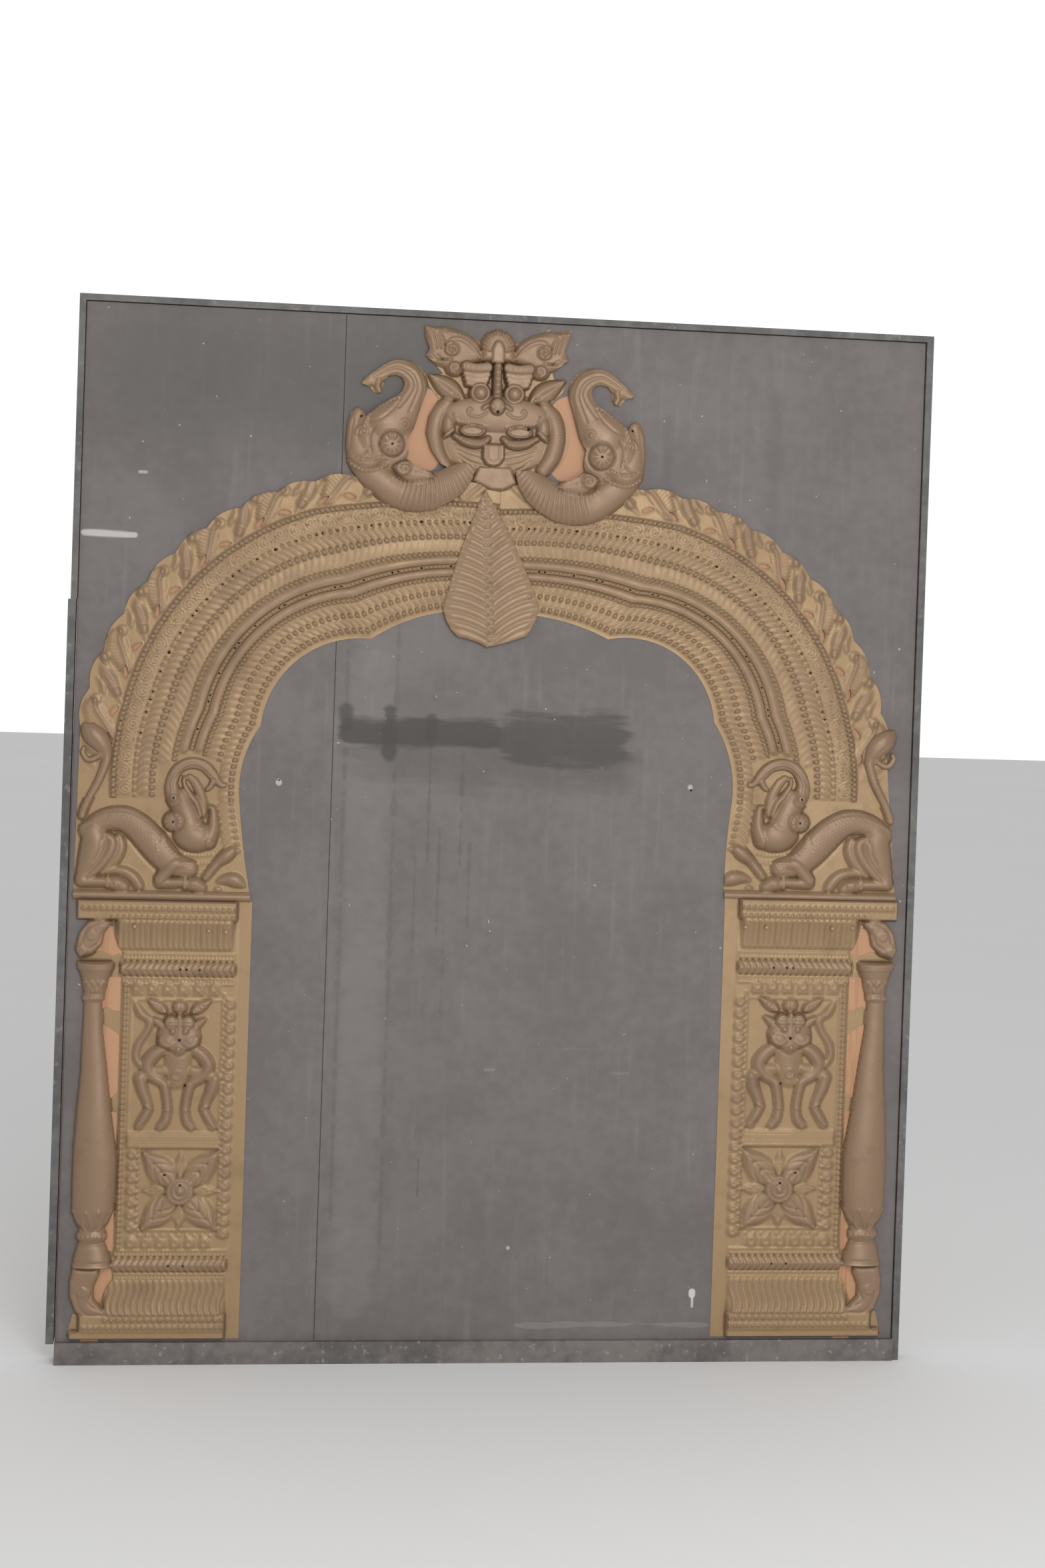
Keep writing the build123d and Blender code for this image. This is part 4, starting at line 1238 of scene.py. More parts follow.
FOOT_FIT = Fit((-872, 975), (850, 1000), (372, 345), (280, 275))
PILLAR_FIT = Fit((-510, 51), (486, 51), (378, 358), (934, 906))
MAKARA_FIT = Fit((-350, 1772), (284, 1757), (279, 275), (335, 320))


@dataclass(frozen=True)
class BeadRow:
    """One row of beads along the arch, down to the height where it ends."""

    share: float
    pitch: float
    radius: float
    lift: float
    end: float = 0.0


class Pattern(Enum):
    """What fills a zone between two bead rows."""

    PLAIN = "plain"
    PLUME = "plume"
    SCROLL = "scroll"


@dataclass(frozen=True)
class BandZone:
    """One zone across the arch, between two bead rows."""

    low: float
    high: float
    lift: float
    end: float = 0.0
    pattern: Pattern = Pattern.PLAIN
    pitch: float = 15.0
    lean: float = 0.7
    relief: float = 2.4

    def rise(self, share: Array, run: Array, width: Array) -> Array:
        """Give the zone's relief.

        Args:
            share: Place across the band.
            run: Length along the zone.
            width: Width of the band.

        Returns:
            Heights.
        """
        place = np.clip((share - self.low) / (self.high - self.low), 0, 1)
        swell = np.sin(np.pi * place)
        deep = (self.high - self.low) * width
        height = self.lift * swell ** 0.6 * np.ones_like(run)
        if self.pattern is Pattern.PLUME:
            phase = np.pi * (run - self.lean * place * deep + 4.0 * swell) / self.pitch
            wave = 0.8 * np.abs(np.cos(phase)) ** 0.7 + 0.2 * np.abs(np.cos(2 * phase)) - 0.5
            height = height + self.relief * wave * swell ** 0.35
        if self.pattern is Pattern.SCROLL:
            cell = run / self.pitch
            hand = 1 - 2 * np.mod(np.floor(cell), 2)
            across = (np.mod(cell, 1) - 0.5) * self.pitch
            up = hand * (place - 0.5) * deep + 0.1 * deep
            coil = 0.5 + 0.5 * np.cos(2 * np.pi * np.hypot(across, up) / 6.0 - np.arctan2(up, across))
            height = height + self.relief * coil ** 1.3 * swell ** 0.4
        return np.where((share > self.low) & (share < self.high), height, 0)


LAP = 0.3  # How far the band lies over the sheets beside it.
LEFT_FOOT = 957  # Foot of the left half; heights along the band are counted as on that half.
HOLES_FROM = 1272
HOLE_RADIUS = 2.9
HOLE_DEPTH = 2
HOLE_ROWS = ((0.832, 44.1, 0.33), (0.832, 102.9, 0.4), (0.420, 61.6, 0.4), (0.420, 123.2, 0.3))
BEAD_ROWS = (
    BeadRow(0.065, 14.0, 4.7, 4.8), BeadRow(0.185, 15.0, 4.8, 4.8, 1247),
    BeadRow(0.305, 9.7, 4.3, 4.2, 1257), BeadRow(0.420, 8.8, 3.8, 3.4, 1268),
    BeadRow(0.537, 11.0, 4.6, 4.6, 1245), BeadRow(0.695, 14.7, 5.2, 5.0, 1172),
    BeadRow(0.832, 14.7, 3.9, 3.6, 1170), BeadRow(1.0, 10.6, 5.2, 5.2, 1166),
)
BAND_ZONES = (
    BandZone(0.085, 0.168, 1.6, 0, Pattern.PLUME, 14.0),
    BandZone(0.203, 0.288, 1.6, 1250, Pattern.PLUME, 15.0), BandZone(0.326, 0.400, 4.4, 1260),
    BandZone(0.440, 0.516, 4.4, 1258), BandZone(0.557, 0.672, 1.8, 1236, Pattern.PLUME, 15.0, -0.7, 1.3),
    BandZone(0.716, 0.812, 2.2, 1168, Pattern.PLUME, 14.7, 0.8, 2.8),
    BandZone(0.855, 0.975, 1.6, 1168, Pattern.SCROLL, 34.0, 0.0, 1.9),
)


@dataclass(frozen=True)
class ArchHalf:
    """One half of the cusped arch: mouldings, pierced leaf border and foot with a creature."""

    side: Side
    foot: float
    band_foot: float
    inner: tuple
    outer: tuple
    leg: tuple
    inner_foot_run: float
    outer_foot_run: float
    shoulder_height: float
    axis: float = -22.0
    arch_top: float = 1838.0
    shoulder_run: float = 222.0
    shoulder_radius: float = 550.0
    low_angle: float = 6.0
    high_angle: float = 82.0
    scallops: int = 10
    pitch: float = 2.2
    band_top: float = 1.035
    mid_radius: float = 590.0
    motif_start: float = 78.0
    motif_step: float = 14.1
    pierced_from: float = 284.0
    pierced_to: float = 1149.0
    lines: int = 112
    stretches: int = 560
    swell: float = 2.4
    swell_from: float = 1166.0
    swell_length: float = 30.0
    low_width: float = 80.0
    high_width: float = 57.0
    scallop: float = 9.0
    flank: tuple = (849.0, 340.0)
    border_rows: tuple = (-5.0, 96.0)
    border_ground: float = 3.2
    fade_end: float = 50.0
    fade_length: float = 45.0
    foot_box: tuple = (-890.0, -500.0, 952.0, 1330.0)
    foot_pitch: float = 2.0

    def rails(self, shares: Array, count: int) -> tuple:
        """Lay the lines that run along the band, from its inner edge to its outer one.

        Args:
            shares: Where each line lies across the band.
            count: How many stretches the lines have.

        Returns:
            Places across and up, by line and stretch.
        """
        inner, outer = np.array(self.inner, float), np.array(self.outer, float)
        knots = inner[None] + (outer - inner)[None] * shares[:, None, None]
        middle = (inner + outer) / 2
        chords = np.array([np.hypot(*(middle[k + 2] - middle[k])) for k in (0, 2, 4)])
        counts = np.rint(count * chords / chords.sum()).astype(int)
        parts = []
        for index, stretches in enumerate(counts):
            last = index == len(counts) - 1
            along = np.linspace(0, 1, stretches + 1)[:None if last else -1]
            parts.append(arc_points(*(knots[:, 2 * index + step] for step in range(3)), along))
        run = np.concatenate(parts, axis=1)
        return self.axis + self.side.value * run[:, :, 0], run[:, :, 1]

    def build_band(self) -> Piece:
        """Make the mouldings, which pass from the cusped inner edge to the round outer one."""
        shares = np.linspace(0.0, self.band_top, self.lines)
        x, z = self.rails(shares, self.stretches)
        step = np.hypot(np.diff(x, axis=1), np.diff(z, axis=1))
        along = np.concatenate([np.zeros((len(shares), 1)), np.cumsum(step, axis=1)], axis=1)
        width = np.hypot(x[-1] - x[0], z[-1] - z[0])[None, :] / self.band_top
        share = shares[:, None]
        level = z - self.foot + LEFT_FOOT

        def run_at(line: float) -> Array:
            """Give the run along the line at this share of the band."""
            return along[np.argmin(np.abs(shares - line))][None, :]

        out_of_foot = np.clip((level - self.swell_from) / self.swell_length, 0, 1)
        height = SHEET + LAP + self.swell * np.clip((share - 0.02) / 0.05, 0, 1) * out_of_foot
        for zone in BAND_ZONES:
            rise = zone.rise(share, run_at((zone.low + zone.high) / 2), width)
            height += rise * np.clip((level - zone.end) / 9, 0, 1)
        for row in BEAD_ROWS:
            phase = run_at(row.share) / row.pitch
            across = (share - row.share) * width
            gap = np.hypot((phase - np.rint(phase)) * row.pitch, across)
            ridge = 1.2 * rounded(across / (1.2 * row.radius), 0.6)
            rise = row.lift * rounded(gap / row.radius, 0.5) + ridge
            height += rise * (level > row.end)
        pit = np.zeros_like(x)
        for line, spacing, start in HOLE_ROWS:
            phase = run_at(line) / spacing + start
            gap = np.hypot((phase - np.rint(phase)) * spacing, (share - line) * width)
            pit = np.maximum(pit, rounded(gap / HOLE_RADIUS, 0.5) * (level > HOLES_FROM))
        grid = GridSheet(x, z, height - HOLE_DEPTH * pit, np.full(x.shape, -FAR), pit)
        piece = grid.build(f"arch_band_{self.side.word}")
        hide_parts(f"arch_sheet_{self.side.word}")
        return piece

    def build_border(self) -> Piece:
        """Make the scalloped border of leaves and buds, drawn straight and bent round the arch."""
        high, low = math.radians(self.high_angle), math.radians(self.low_angle)
        crown = np.linspace(0.3, self.shoulder_run, 40)
        angles = np.linspace(math.pi / 2, low, 355)[1:]
        side = np.linspace(0, 1, 40)[1:]
        circle_run = self.shoulder_run + self.shoulder_radius * np.cos(angles)
        circle_rise = self.shoulder_height + self.shoulder_radius * np.sin(angles)
        end_run, end_rise = circle_run[-1], circle_rise[-1]
        drop = (end_rise - self.band_foot) * side
        base_run = np.concatenate([crown, circle_run, end_run + (self.outer[-1][0] - end_run) * side])
        base_rise = np.concatenate([np.full(len(crown), circle_rise[0]), circle_rise, end_rise - drop])
        out_run = np.concatenate([np.zeros(len(crown)), np.cos(angles), np.ones(len(side))])
        out_rise = np.concatenate([np.ones(len(crown)), np.sin(angles), np.zeros(len(side))])
        turn = self.shoulder_run + self.mid_radius * (math.pi / 2 - angles)
        run = np.concatenate([crown, turn, turn[-1] + drop])
        share = np.clip((angles - low) / (high - low), 0, 1)
        wide = self.low_width + (self.high_width - self.low_width) * share
        wide = wide + self.scallop * np.abs(np.sin(np.pi * self.scallops * share)) * (angles < high)
        top_wide = np.linspace(self.arch_top - circle_rise[0], wide[0], len(crown))
        slope = (self.outer_foot_run - (end_run + wide[-1])) / (self.foot - end_rise)
        foot_wide = end_run + wide[-1] - slope * drop - base_run[-len(side):]
        canvas = ReliefCanvas(run[0], run[-1], *self.border_rows, self.pitch, self.border_ground)
        canvas.edge = canvas.z[:, None] - np.interp(canvas.x, run,
            np.concatenate([top_wide, wide, foot_wide]))[None, :]
        first = self.shoulder_run + self.mid_radius * math.radians(90 - self.motif_start)
        step = self.mid_radius * math.radians(self.motif_step)
        for start in np.arange(first - 2 * step, run[-1] + step, step):
            self.draw_motif(canvas, start)
        fade = np.clip((run[-1] - self.fade_end - canvas.x) / self.fade_length, 0, 1)
        canvas.height = SHEET + (canvas.height - SHEET) * fade[None, :]

        def place(along: Array, out: Array) -> tuple:
            """Bend the straight drawing round the arch."""
            across = np.interp(along, run, base_run) + out * np.interp(along, run, out_run)
            return self.axis + self.side.value * across, np.interp(along, run, base_rise) + out * np.interp(
                along, run, out_rise)

        return canvas.sheet(place).build(f"arch_border_{self.side.word}")

    def draw_motif(self, canvas: ReliefCanvas, start: float) -> None:
        """Draw one leaf and one bud of the border, with the openings beside the leaf's root.

        Args:
            canvas: The border's straight drawing.
            start: Where the motif's middle lies along it.
        """
        def at(points: Line) -> list:
            """Set points beside the motif's middle."""
            return [(start + point[0], *point[1:]) for point in points]

        canvas.pad(at(((30, 6), (34, 24), (22, 48), (4, 70), (-24, 84), (-40, 78), (-46, 60), (-30, 40),
            (-8, 20), (14, 6))), 4.5, 10, 3)
        for share in np.linspace(0.08, 0.9, 9):
            root = (24 - 52 * share, 12 + 48 * share)
            canvas.line(at((root, (root[0] + 9, root[1] + 9), (root[0] + 14, root[1] + 20))), 2.3, -2.2, 3)
            canvas.line(at((root, (root[0] - 9, root[1] - 3), (root[0] - 17, root[1] + 2))), 2.0, -1.8, 3)
        canvas.limb(at(((24, 12, 2.6), (6, 28, 3.4), (-10, 42, 3.8), (-26, 56, 4.4), (-42, 62, 5))),
            1.0, 5.5)
        canvas.limb(at(((34, 70, 4), (44, 56, 12), (56, 41, 14), (70, 27, 9), (98, 6, 4))), 0.5, 3)
        canvas.limb(at(((58, 70, 3), (68, 56, 7), (84, 48, 6))), 0.6, 3)
        canvas.limb(at(((36, 46, 3), (29, 58, 5), (16, 70, 8))), 0.7, 3)
        canvas.line(at(((44, 58), (52, 46), (62, 34), (78, 22))), 1.8, -1.6)
        for x, z, radius, hand, angle in ((-46, 58, 11, 1, 60), (76, 24, 11, -1, 100), (15, 68, 10, 1, 30)):
            canvas.dome(start + x, z, radius, radius, 2.6)
            canvas.spiral(start + x, z, radius * 0.9, 2.6, hand, angle)
        for place, tilt in ((-29.0, -0.55), (29.0, 0.55)):
            if not self.pierced_from < start + place < self.pierced_to:
                continue
            ring = [(start + place + 12.5 * math.cos(angle) - 7 * tilt * math.sin(angle),
                18 + 7 * math.sin(angle) - 7 * tilt * math.cos(angle))
                for angle in np.linspace(0, 6.02, 22)]
            canvas.line((*ring, ring[0]), 3.4, 1.8, 1)
            canvas.pierce(ring)

    def build_foot(self) -> Piece:
        """Make the foot with its creature."""
        canvas = ReliefCanvas(*self.foot_box, self.foot_pitch)
        FootCreature(canvas).draw()
        grid = canvas.sheet(partial(FOOT_FIT.place, self.side))
        leg = arc_points(*(np.array([point], float) for point in ((self.inner[-1][0], self.band_foot),
            self.leg, (self.inner_foot_run, self.foot))), np.linspace(0, 1, 12))[0]
        run, rise = self.flank
        top_run = self.outer_foot_run + (run - self.outer_foot_run) * (self.band_foot - self.foot) / rise
        outline = [(self.axis + self.side.value * run, z) for run, z in leg]
        outline += [(self.axis + self.side.value * run, z) for run, z in (
            (self.outer_foot_run, self.foot), (top_run, self.band_foot))]
        grid.edge = np.minimum(grid.edge, outline_distance(grid.x, grid.z, outline))
        return grid.build(f"arch_foot_{self.side.word}")

    def dress(self, material: Material) -> None:
        """Build the half's pieces and give them their finish."""
        for piece in (self.build_band(), self.build_border(), self.build_foot()):
            mount(piece, material)


@dataclass(frozen=True)
class FootCreature:
    """The trunked creature on the foot of an arch half, drawn as on the left."""

    canvas: ReliefCanvas

    def draw(self) -> None:
        """Draw the whole creature."""
        self.draw_leg()
        self.draw_body()
        self.draw_head()
        self.draw_marks()

    def draw_leg(self) -> None:
        """Draw the ledge under the creature and the end of the mouldings beside it."""
        canvas = self.canvas
        canvas.roll(-890, -500, 966, 9.5, 9)
        for z in np.arange(1062, 1162, 14.0):
            x = np.interp(z, (1060, 1085, 1110, 1165), (-541, -546, -551, -560))
            canvas.dome(x, z, 4.7, 4.7, 4.8)
            canvas.line(((x - 5, z + 3), (x - 13, z + 3), (x - 21, z - 3), (x - 26, z - 11)), 4.2, 2.6)
            canvas.line(((x - 7, z - 3), (x - 14, z - 3), (x - 20, z - 8)), 2.0, 1.4)

    def draw_body(self) -> None:
        """Draw the body, the legs, the tail and what stands beside them."""
        canvas = self.canvas
        canvas.limb(((-846, 1098, 21), (-815, 1119, 22), (-779, 1123, 25), (-750, 1108, 28),
            (-722, 1081, 30), (-697, 1053, 29), (-676, 1034, 24), (-645, 1024, 20)), 0.5, 4, power=0.5)
        canvas.limb(((-838, 1094, 24), (-834, 1072, 28), (-842, 1044, 24), (-855, 1014, 14),
            (-860, 996, 12)), 0.5, 7)
        canvas.limb(((-818, 1090, 8), (-800, 1078, 11), (-803, 1056, 12), (-820, 1030, 11),
            (-844, 1004, 8)), 0.75, 8)
        canvas.limb(((-785, 1086, 8), (-781, 1066, 11), (-790, 1042, 11), (-806, 1024, 8), (-818, 1012, 5)),
            0.75, 3)
        canvas.limb(((-858, 994, 12), (-836, 994, 11), (-810, 994, 10)), 0.85, 4)
        canvas.limb(((-800, 992, 13), (-786, 990, 15), (-773, 984, 11)), 0.8, 3)
        canvas.limb(((-814, 1015, 6), (-790, 1018, 9), (-768, 1013, 11), (-752, 1001, 12), (-742, 986, 11)),
            0.75, 2)
        canvas.limb(((-655, 1030, 10), (-672, 1033, 16), (-688, 1016, 14), (-700, 1000, 12)), 0.75, 9)
        canvas.limb(((-700, 994, 12), (-680, 994, 11), (-652, 995, 10)), 0.85, 4)
        canvas.limb(((-642, 992, 12), (-628, 991, 15), (-615, 985, 11)), 0.8, 3)
        for x in (-806, -649):
            canvas.limb(((x, 1003, 4), (x - 1, 985, 4)), 1.0, 9)
        canvas.limb(((-862, 1128, 8), (-858, 1142, 8), (-848, 1166, 8), (-831, 1199, 9), (-818, 1236, 10),
            (-817, 1258, 12), (-830, 1280, 22), (-846, 1296, 22), (-860, 1312, 8)), 0.7, 6, keep=True)
        canvas.limb(((-822, 1262, 9), (-836, 1248, 7), (-853, 1243, 7), (-864, 1257, 6), (-862, 1266, 5)),
            0.9, 6, keep=True)
        canvas.limb(((-607, 1006, 8), (-594, 1024, 9), (-581, 1040, 9)), 0.85, 3)
        canvas.limb(((-580, 1041, 10), (-566, 1052, 13), (-555, 1061, 10)), 0.8, 4)
        canvas.limb(((-582, 998, 4), (-565, 1003, 10), (-546, 1001, 14), (-528, 991, 5)), 0.65, 3)
        canvas.dome(-581, 982, 8, 6, 4, 0, 2)

    def draw_head(self) -> None:
        """Draw the head and the trunk."""
        canvas = self.canvas
        canvas.dome(-634, 1091, 42, 32, 20, -10, 4)
        canvas.limb(((-606, 1082, 18), (-596, 1106, 13), (-595, 1130, 9), (-597, 1148, 6), (-604, 1151, 4)),
            0.8, 6)
        canvas.limb(((-645, 1112, 30), (-654, 1140, 26), (-666, 1168, 22)), 0.55, 5, keep=True)
        canvas.limb(((-672, 1163, 17), (-680, 1180, 16), (-682, 1202, 13), (-670, 1228, 12),
            (-645, 1241, 12), (-618, 1236, 12), (-600, 1219, 11), (-587, 1203, 8), (-577, 1196, 6),
            (-572, 1199, 4)), 0.85, 8, keep=True)
        canvas.limb(((-596, 1208, 8), (-602, 1196, 6), (-609, 1188, 5)), 0.9, 8, keep=True)
        canvas.limb(((-646, 1212, 8), (-634, 1200, 10), (-622, 1176, 10), (-616, 1152, 8), (-615, 1134, 5)),
            0.5, 5, keep=True)
        canvas.limb(((-658, 1212, 4), (-656, 1196, 5), (-645, 1178, 6), (-630, 1160, 6), (-622, 1136, 5)),
            0.9, 9, keep=True)
        canvas.keep(((-692, 1240), (-590, 1240), (-590, 1160), (-692, 1160)))
        canvas.dome(-677, 1120, 21, 21, 8, 0, 4)
        canvas.rosette(-677, 1120, 20, 10, 8)
        canvas.dome(-677, 1170, 9, 8, 4)

    def draw_marks(self) -> None:
        """Draw the beads, scales, folds and pin holes."""
        canvas = self.canvas
        canvas.stipple(((-838, 1100), (-800, 1138), (-765, 1136), (-725, 1110), (-700, 1080), (-706, 1030),
                        (-735, 1052), (-765, 1088), (-800, 1105)), 7.0, 2.8, 2.8, 35)
        canvas.stipple(((-655, 1040), (-606, 1040), (-600, 1008), (-650, 1008)), 6.6, 2.6, 2.6)
        for shift in (0, 9):
            canvas.beads(((-866, 1112 - shift), (-835, 1132 - shift), (-800, 1144 - shift),
                (-765, 1142 - shift), (-730, 1124 - shift), (-702, 1098 - shift)), 7.0, 2.7, 2.6)
        for shift in (0, 7):
            canvas.line(((-806, 1100 + shift), (-770, 1084 + shift), (-742, 1050 + shift),
                (-708, 1016 + shift)), 2.0, -1.8)
        canvas.line(((-814, 1088), (-822, 1076), (-824, 1058), (-836, 1036)), 2.2, -2.0)
        canvas.spiral(-616, 1117, 10, 3.2, 1, 180)
        canvas.spiral(-603, 1077, 9, 2.8, -1, 120)
        canvas.line(((-852, 1300), (-846, 1286), (-836, 1276), (-828, 1266)), 1.8, -1.6)
        canvas.stipple(((-652, 1152), (-632, 1140), (-622, 1118), (-640, 1108), (-652, 1128)),
            5.0, 1.9, 1.2)
        canvas.beads(((-645, 1172), (-634, 1160), (-626, 1146), (-621, 1132)), 6.6, 3.4, 3.6)
        canvas.beads(((-694, 1092), (-688, 1074), (-676, 1058), (-662, 1050)), 7.4, 3.4, 3.2)
        for z in (1053, 1037):
            canvas.beads(((-652, z), (-620, z - 3), (-596, z)), 7.4, 3.2, 2.8)
        for shift in (-5, 3):
            canvas.line(((-680 + shift, 1184), (-680 + shift, 1206),
                (-662 + 0.6 * shift, 1230 - 0.8 * shift), (-640, 1240 - shift),
                (-616 - 0.6 * shift, 1232 - 0.8 * shift), (-594, 1210 - shift)), 2.4, -3.0)
        for x, z in ((-796, 992), (-786, 991), (-776, 990), (-640, 993), (-630, 992), (-621, 990)):
            canvas.line(((x, z), (x + 3, z - 9)), 1.6, -2.2)
        for x, z in ((-677, 1120), (-677, 1170)):
            canvas.pin_hole(x, z)


COLUMN_WEBS = (
    ((-866, 914), (-770, 914), (-770, 957), (-868, 957)),
    ((-862, 53), (-770, 53), (-770, 103), (-850, 103)),
    ((-768, 726), (-786, 728), (-800, 736), (-814, 728), (-810, 703), (-790, 692), (-768, 676)),
    ((-768, 566), (-780, 552), (-796, 540), (-790, 522), (-768, 518)),
    ((-800, 340), (-770, 340), (-770, 412), (-780, 412)),
    ((-806, 204), (-770, 204), (-770, 232), (-806, 232)),
    ((-806, 798), (-770, 798), (-770, 832), (-806, 832)),
    ((-863, 827), (-770, 827), (-776, 846), (-790, 840), (-812, 850), (-858, 846)),
    ((-796, 917), (-788, 880), (-774, 852), (-760, 852), (-760, 917)),
    ((-806, 103), (-795, 130), (-782, 160), (-768, 176), (-760, 176), (-760, 103)),
)
COLUMN_PROFILE = (
    (200, -814, 42), (206, -814, 42), (208, -815, 40), (218, -815, 38), (243, -816, 31), (252, -816, 26),
    (256, -816, 27), (259, -816, 31), (272, -816, 31), (276, -816, 27), (282, -816, 27), (293, -816, 34),
    (318, -816, 43), (360, -815, 45), (427, -815, 45), (472, -817, 41), (527, -820, 35), (610, -822, 27),
    (689, -827, 21), (745, -828, 19), (748, -828, 19), (750, -828, 23), (761, -827, 23), (763, -826, 21),
    (770, -825, 23), (782, -825, 26), (795, -825, 28), (813, -825, 34), (815, -826, 37), (827, -826, 38),
    (829, -826, 38),
)
COLUMN_BRACKETS = (  # Each with the first point of its beaded rim.
    (((-793, 911), (-817, 921), (-842, 913), (-861, 888), (-868, 854), (-858, 836), (-832, 844),
      (-813, 864), (-808, 890), (-800, 900)), 2),
    (((-853, 201), (-800, 201), (-797, 186), (-808, 160), (-808, 136), (-792, 118), (-775, 108), (-782, 94),
      (-830, 92), (-846, 110), (-858, 140), (-859, 172)), 8),
)


@dataclass(frozen=True)
class Pillar:
    """A panel pillar with a half column beside it, drawn as on the left."""

    side: Side
    pitch: float = 2.0
    box: tuple = (-872.0, -508.0, 47.0, 960.0)

    def dress(self, material: Material) -> None:
        """Build the pillar and give it its finish."""
        canvas = ReliefCanvas(*self.box, self.pitch)
        canvas.keep(((-772, 51), (-510, 51), (-510, 957), (-772, 957)))
        self.draw_column(canvas)
        self.draw_mouldings(canvas)
        self.draw_figure(canvas)
        self.draw_flower(canvas)
        piece = canvas.sheet(partial(PILLAR_FIT.place, self.side)).build(f"pillar_panel_{self.side.word}")
        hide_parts(f"pillar_sheet_{self.side.word}")
        mount(piece, material)

    @staticmethod
    def draw_mouldings(canvas: ReliefCanvas) -> None:
        """Draw the bead rows, coves, ropes and petal rows of the panel."""
        canvas.shelf(-770, -537, 70, 935, 2.2, 2.2)
        canvas.shelf(-866, -540, 916, 957, 15, 17)
        canvas.shelf(-858, -540, 52, 69, 13, 13)
        canvas.shelf(-838, -540, 69, 103, 16, 16)
        canvas.shelf(-788, -542, 854, 917, 3, 17, 2.0, 14)
        canvas.flutes(-784, -546, 856, 915, 21, 4.4)
        canvas.shelf(-790, -540, 102, 174, 17, 3, 2.0, 14)
        canvas.flutes(-786, -544, 104, 172, 18, 4.6, 4)
        for z, left, right, pitch in ((940, -852, -543, 12.2), (923, -793, -548, 12.5),
                (94, -785, -545, 14.0), (78, -828, -545, 12.5)):
            canvas.beads(((left, z), ((left + right) / 2, z), (right, z)), pitch, 5.0, 5.2)
        for z in (847, 836, 797, 785, 234, 224, 186, 176):
            canvas.roll(-770, -541, z, 2.6, 4.0)
        for z in (841.5, 791, 229, 181):
            canvas.beads(((-768, z), (-655, z), (-544, z)), 7.4, 2.9, 3.2)
        for middle, radius in ((816, 16), (205, 16)):
            canvas.roll(-774, -541, middle, radius, 11)
            for x in np.arange(-778, -552, 13.0):
                canvas.line(((x + 12, middle + radius), (x + 3, middle + 6), (x, middle),
                    (x + 3, middle - 6), (x + 12, middle - radius)), 2.4, -2.8, 3)
            canvas.beads(((-764, middle), (-655, middle), (-547, middle)), 13.0, 3.2, 2.2)
        canvas.shelf(-752, -559, 447, 475, 6, 6, 1.0, 3)
        for z in (470, 452):
            canvas.roll(-752, -559, z, 2.4, 6.5)
        for z in (464, 457.5):
            canvas.beads(((-748, z), (-655, z), (-562, z)), 6.6, 2.5, 1.8)
        for first, step, aside, z, tall, ring_z, high, low in (
                (-739, 31.5, 15.7, 776, 14, 777, 783, 766), (-737, 30.0, 15, 250, 15, 249, 262, 240)):
            for x in np.arange(first, -560, step):
                canvas.dome(x, z, 13, tall, 3.6, 0, 2.2, 0.3)
                canvas.ring(x, ring_z, 7, 2.4, 1.8)
                canvas.line(((x + aside, high), (x + aside, low)), 2.2, 2.2, 2)
        for z, left in ((764, -746), (265, -720)):
            canvas.beads(((left, z), (-650, z), (-560, z)), 15.5, 3.4, 3.4)
        canvas.beads(((-763, 240), (-763, 500), (-763, 781)), 11.6, 5.6, 5.8)
        for x, tip, low, high in ((-548, -559, 268, 758), (-740, -728, 282, 440)):
            for z in np.arange(low, high, 25.0):
                canvas.dome(x, z, 12, 10.5, 3.6, 0, 2.2, 0.3)
                canvas.ring(x, z, 6, 2.4, 1.8)
                canvas.line(((x - 8, z + 12.5), (x + 8, z + 12.5)), 1.9, 2.0, 2)
            canvas.beads(((tip, low), (tip, (low + high) / 2), (tip, high)), 12.5, 3.6, 3.6)
        for x, z in ((-653, 816), (-640, 816), (-613, 816), (-659, 204),
                (-629, 204), (-636, 576), (-672, 392)):
            canvas.pin_hole(x, z)

    @staticmethod
    def draw_figure(canvas: ReliefCanvas) -> None:
        """Draw the horned guardian in the upper panel."""
        for z in (752, 478):
            canvas.line(((-750, z), (-656, z), (-562, z)), 2.4, 2.6, 2)
        for x in (-750, -563):
            canvas.line(((x, 478), (x, 615), (x, 752)), 2.2, 2.2, 2)
        canvas.limb(((-746, 751, 3), (-738, 738, 8), (-728, 722, 10), (-716, 714, 8), (-711, 702, 8),
            (-718, 684, 7), (-733, 660, 8), (-738, 640, 8), (-732, 622, 8), (-716, 609, 8)), 0.8, 2)
        canvas.limb(((-651, 648, 30), (-652, 615, 26), (-654, 585, 18)), 0.4, 2)
        canvas.ring(-654, 597, 9, 2.6, 1.8)
        for mirror in (1, -1):
            def at(points: Line, sign: int = mirror) -> list:
                """Set points on this side of the figure."""
                return [(-652 + sign * point[0], *point[1:]) for point in points]
            canvas.limb(at(((28, 652, 11), (48, 640, 14), (62, 618, 14), (52, 596, 12), (32, 583, 11))),
                0.75, 3)
            canvas.limb(at(((26, 578, 10), (21, 553, 9), (18, 530, 9))), 0.8, 4)
            canvas.limb(at(((30, 606, 12), (54, 602, 13), (76, 592, 13))), 0.6, 2)
            canvas.limb(at(((76, 590, 13), (70, 566, 12), (60, 542, 10), (56, 528, 9))), 0.75, 3)
            canvas.limb(at(((18, 520, 9), (22, 502, 10), (32, 490, 9))), 0.8, 3)
            canvas.limb(at(((57, 524, 9), (66, 508, 10), (76, 491, 9))), 0.8, 3)
            for start, end in (((10, 525), (27, 525)), ((48, 528), (66, 535))):
                canvas.line(at((start, end)), 3.0, 3.0, 2)
            for toe in (0, 6, 12):
                canvas.line(at(((24 + toe, 500 - toe), (34 + toe, 487 - 0.3 * toe))), 1.6, -1.8, 2)
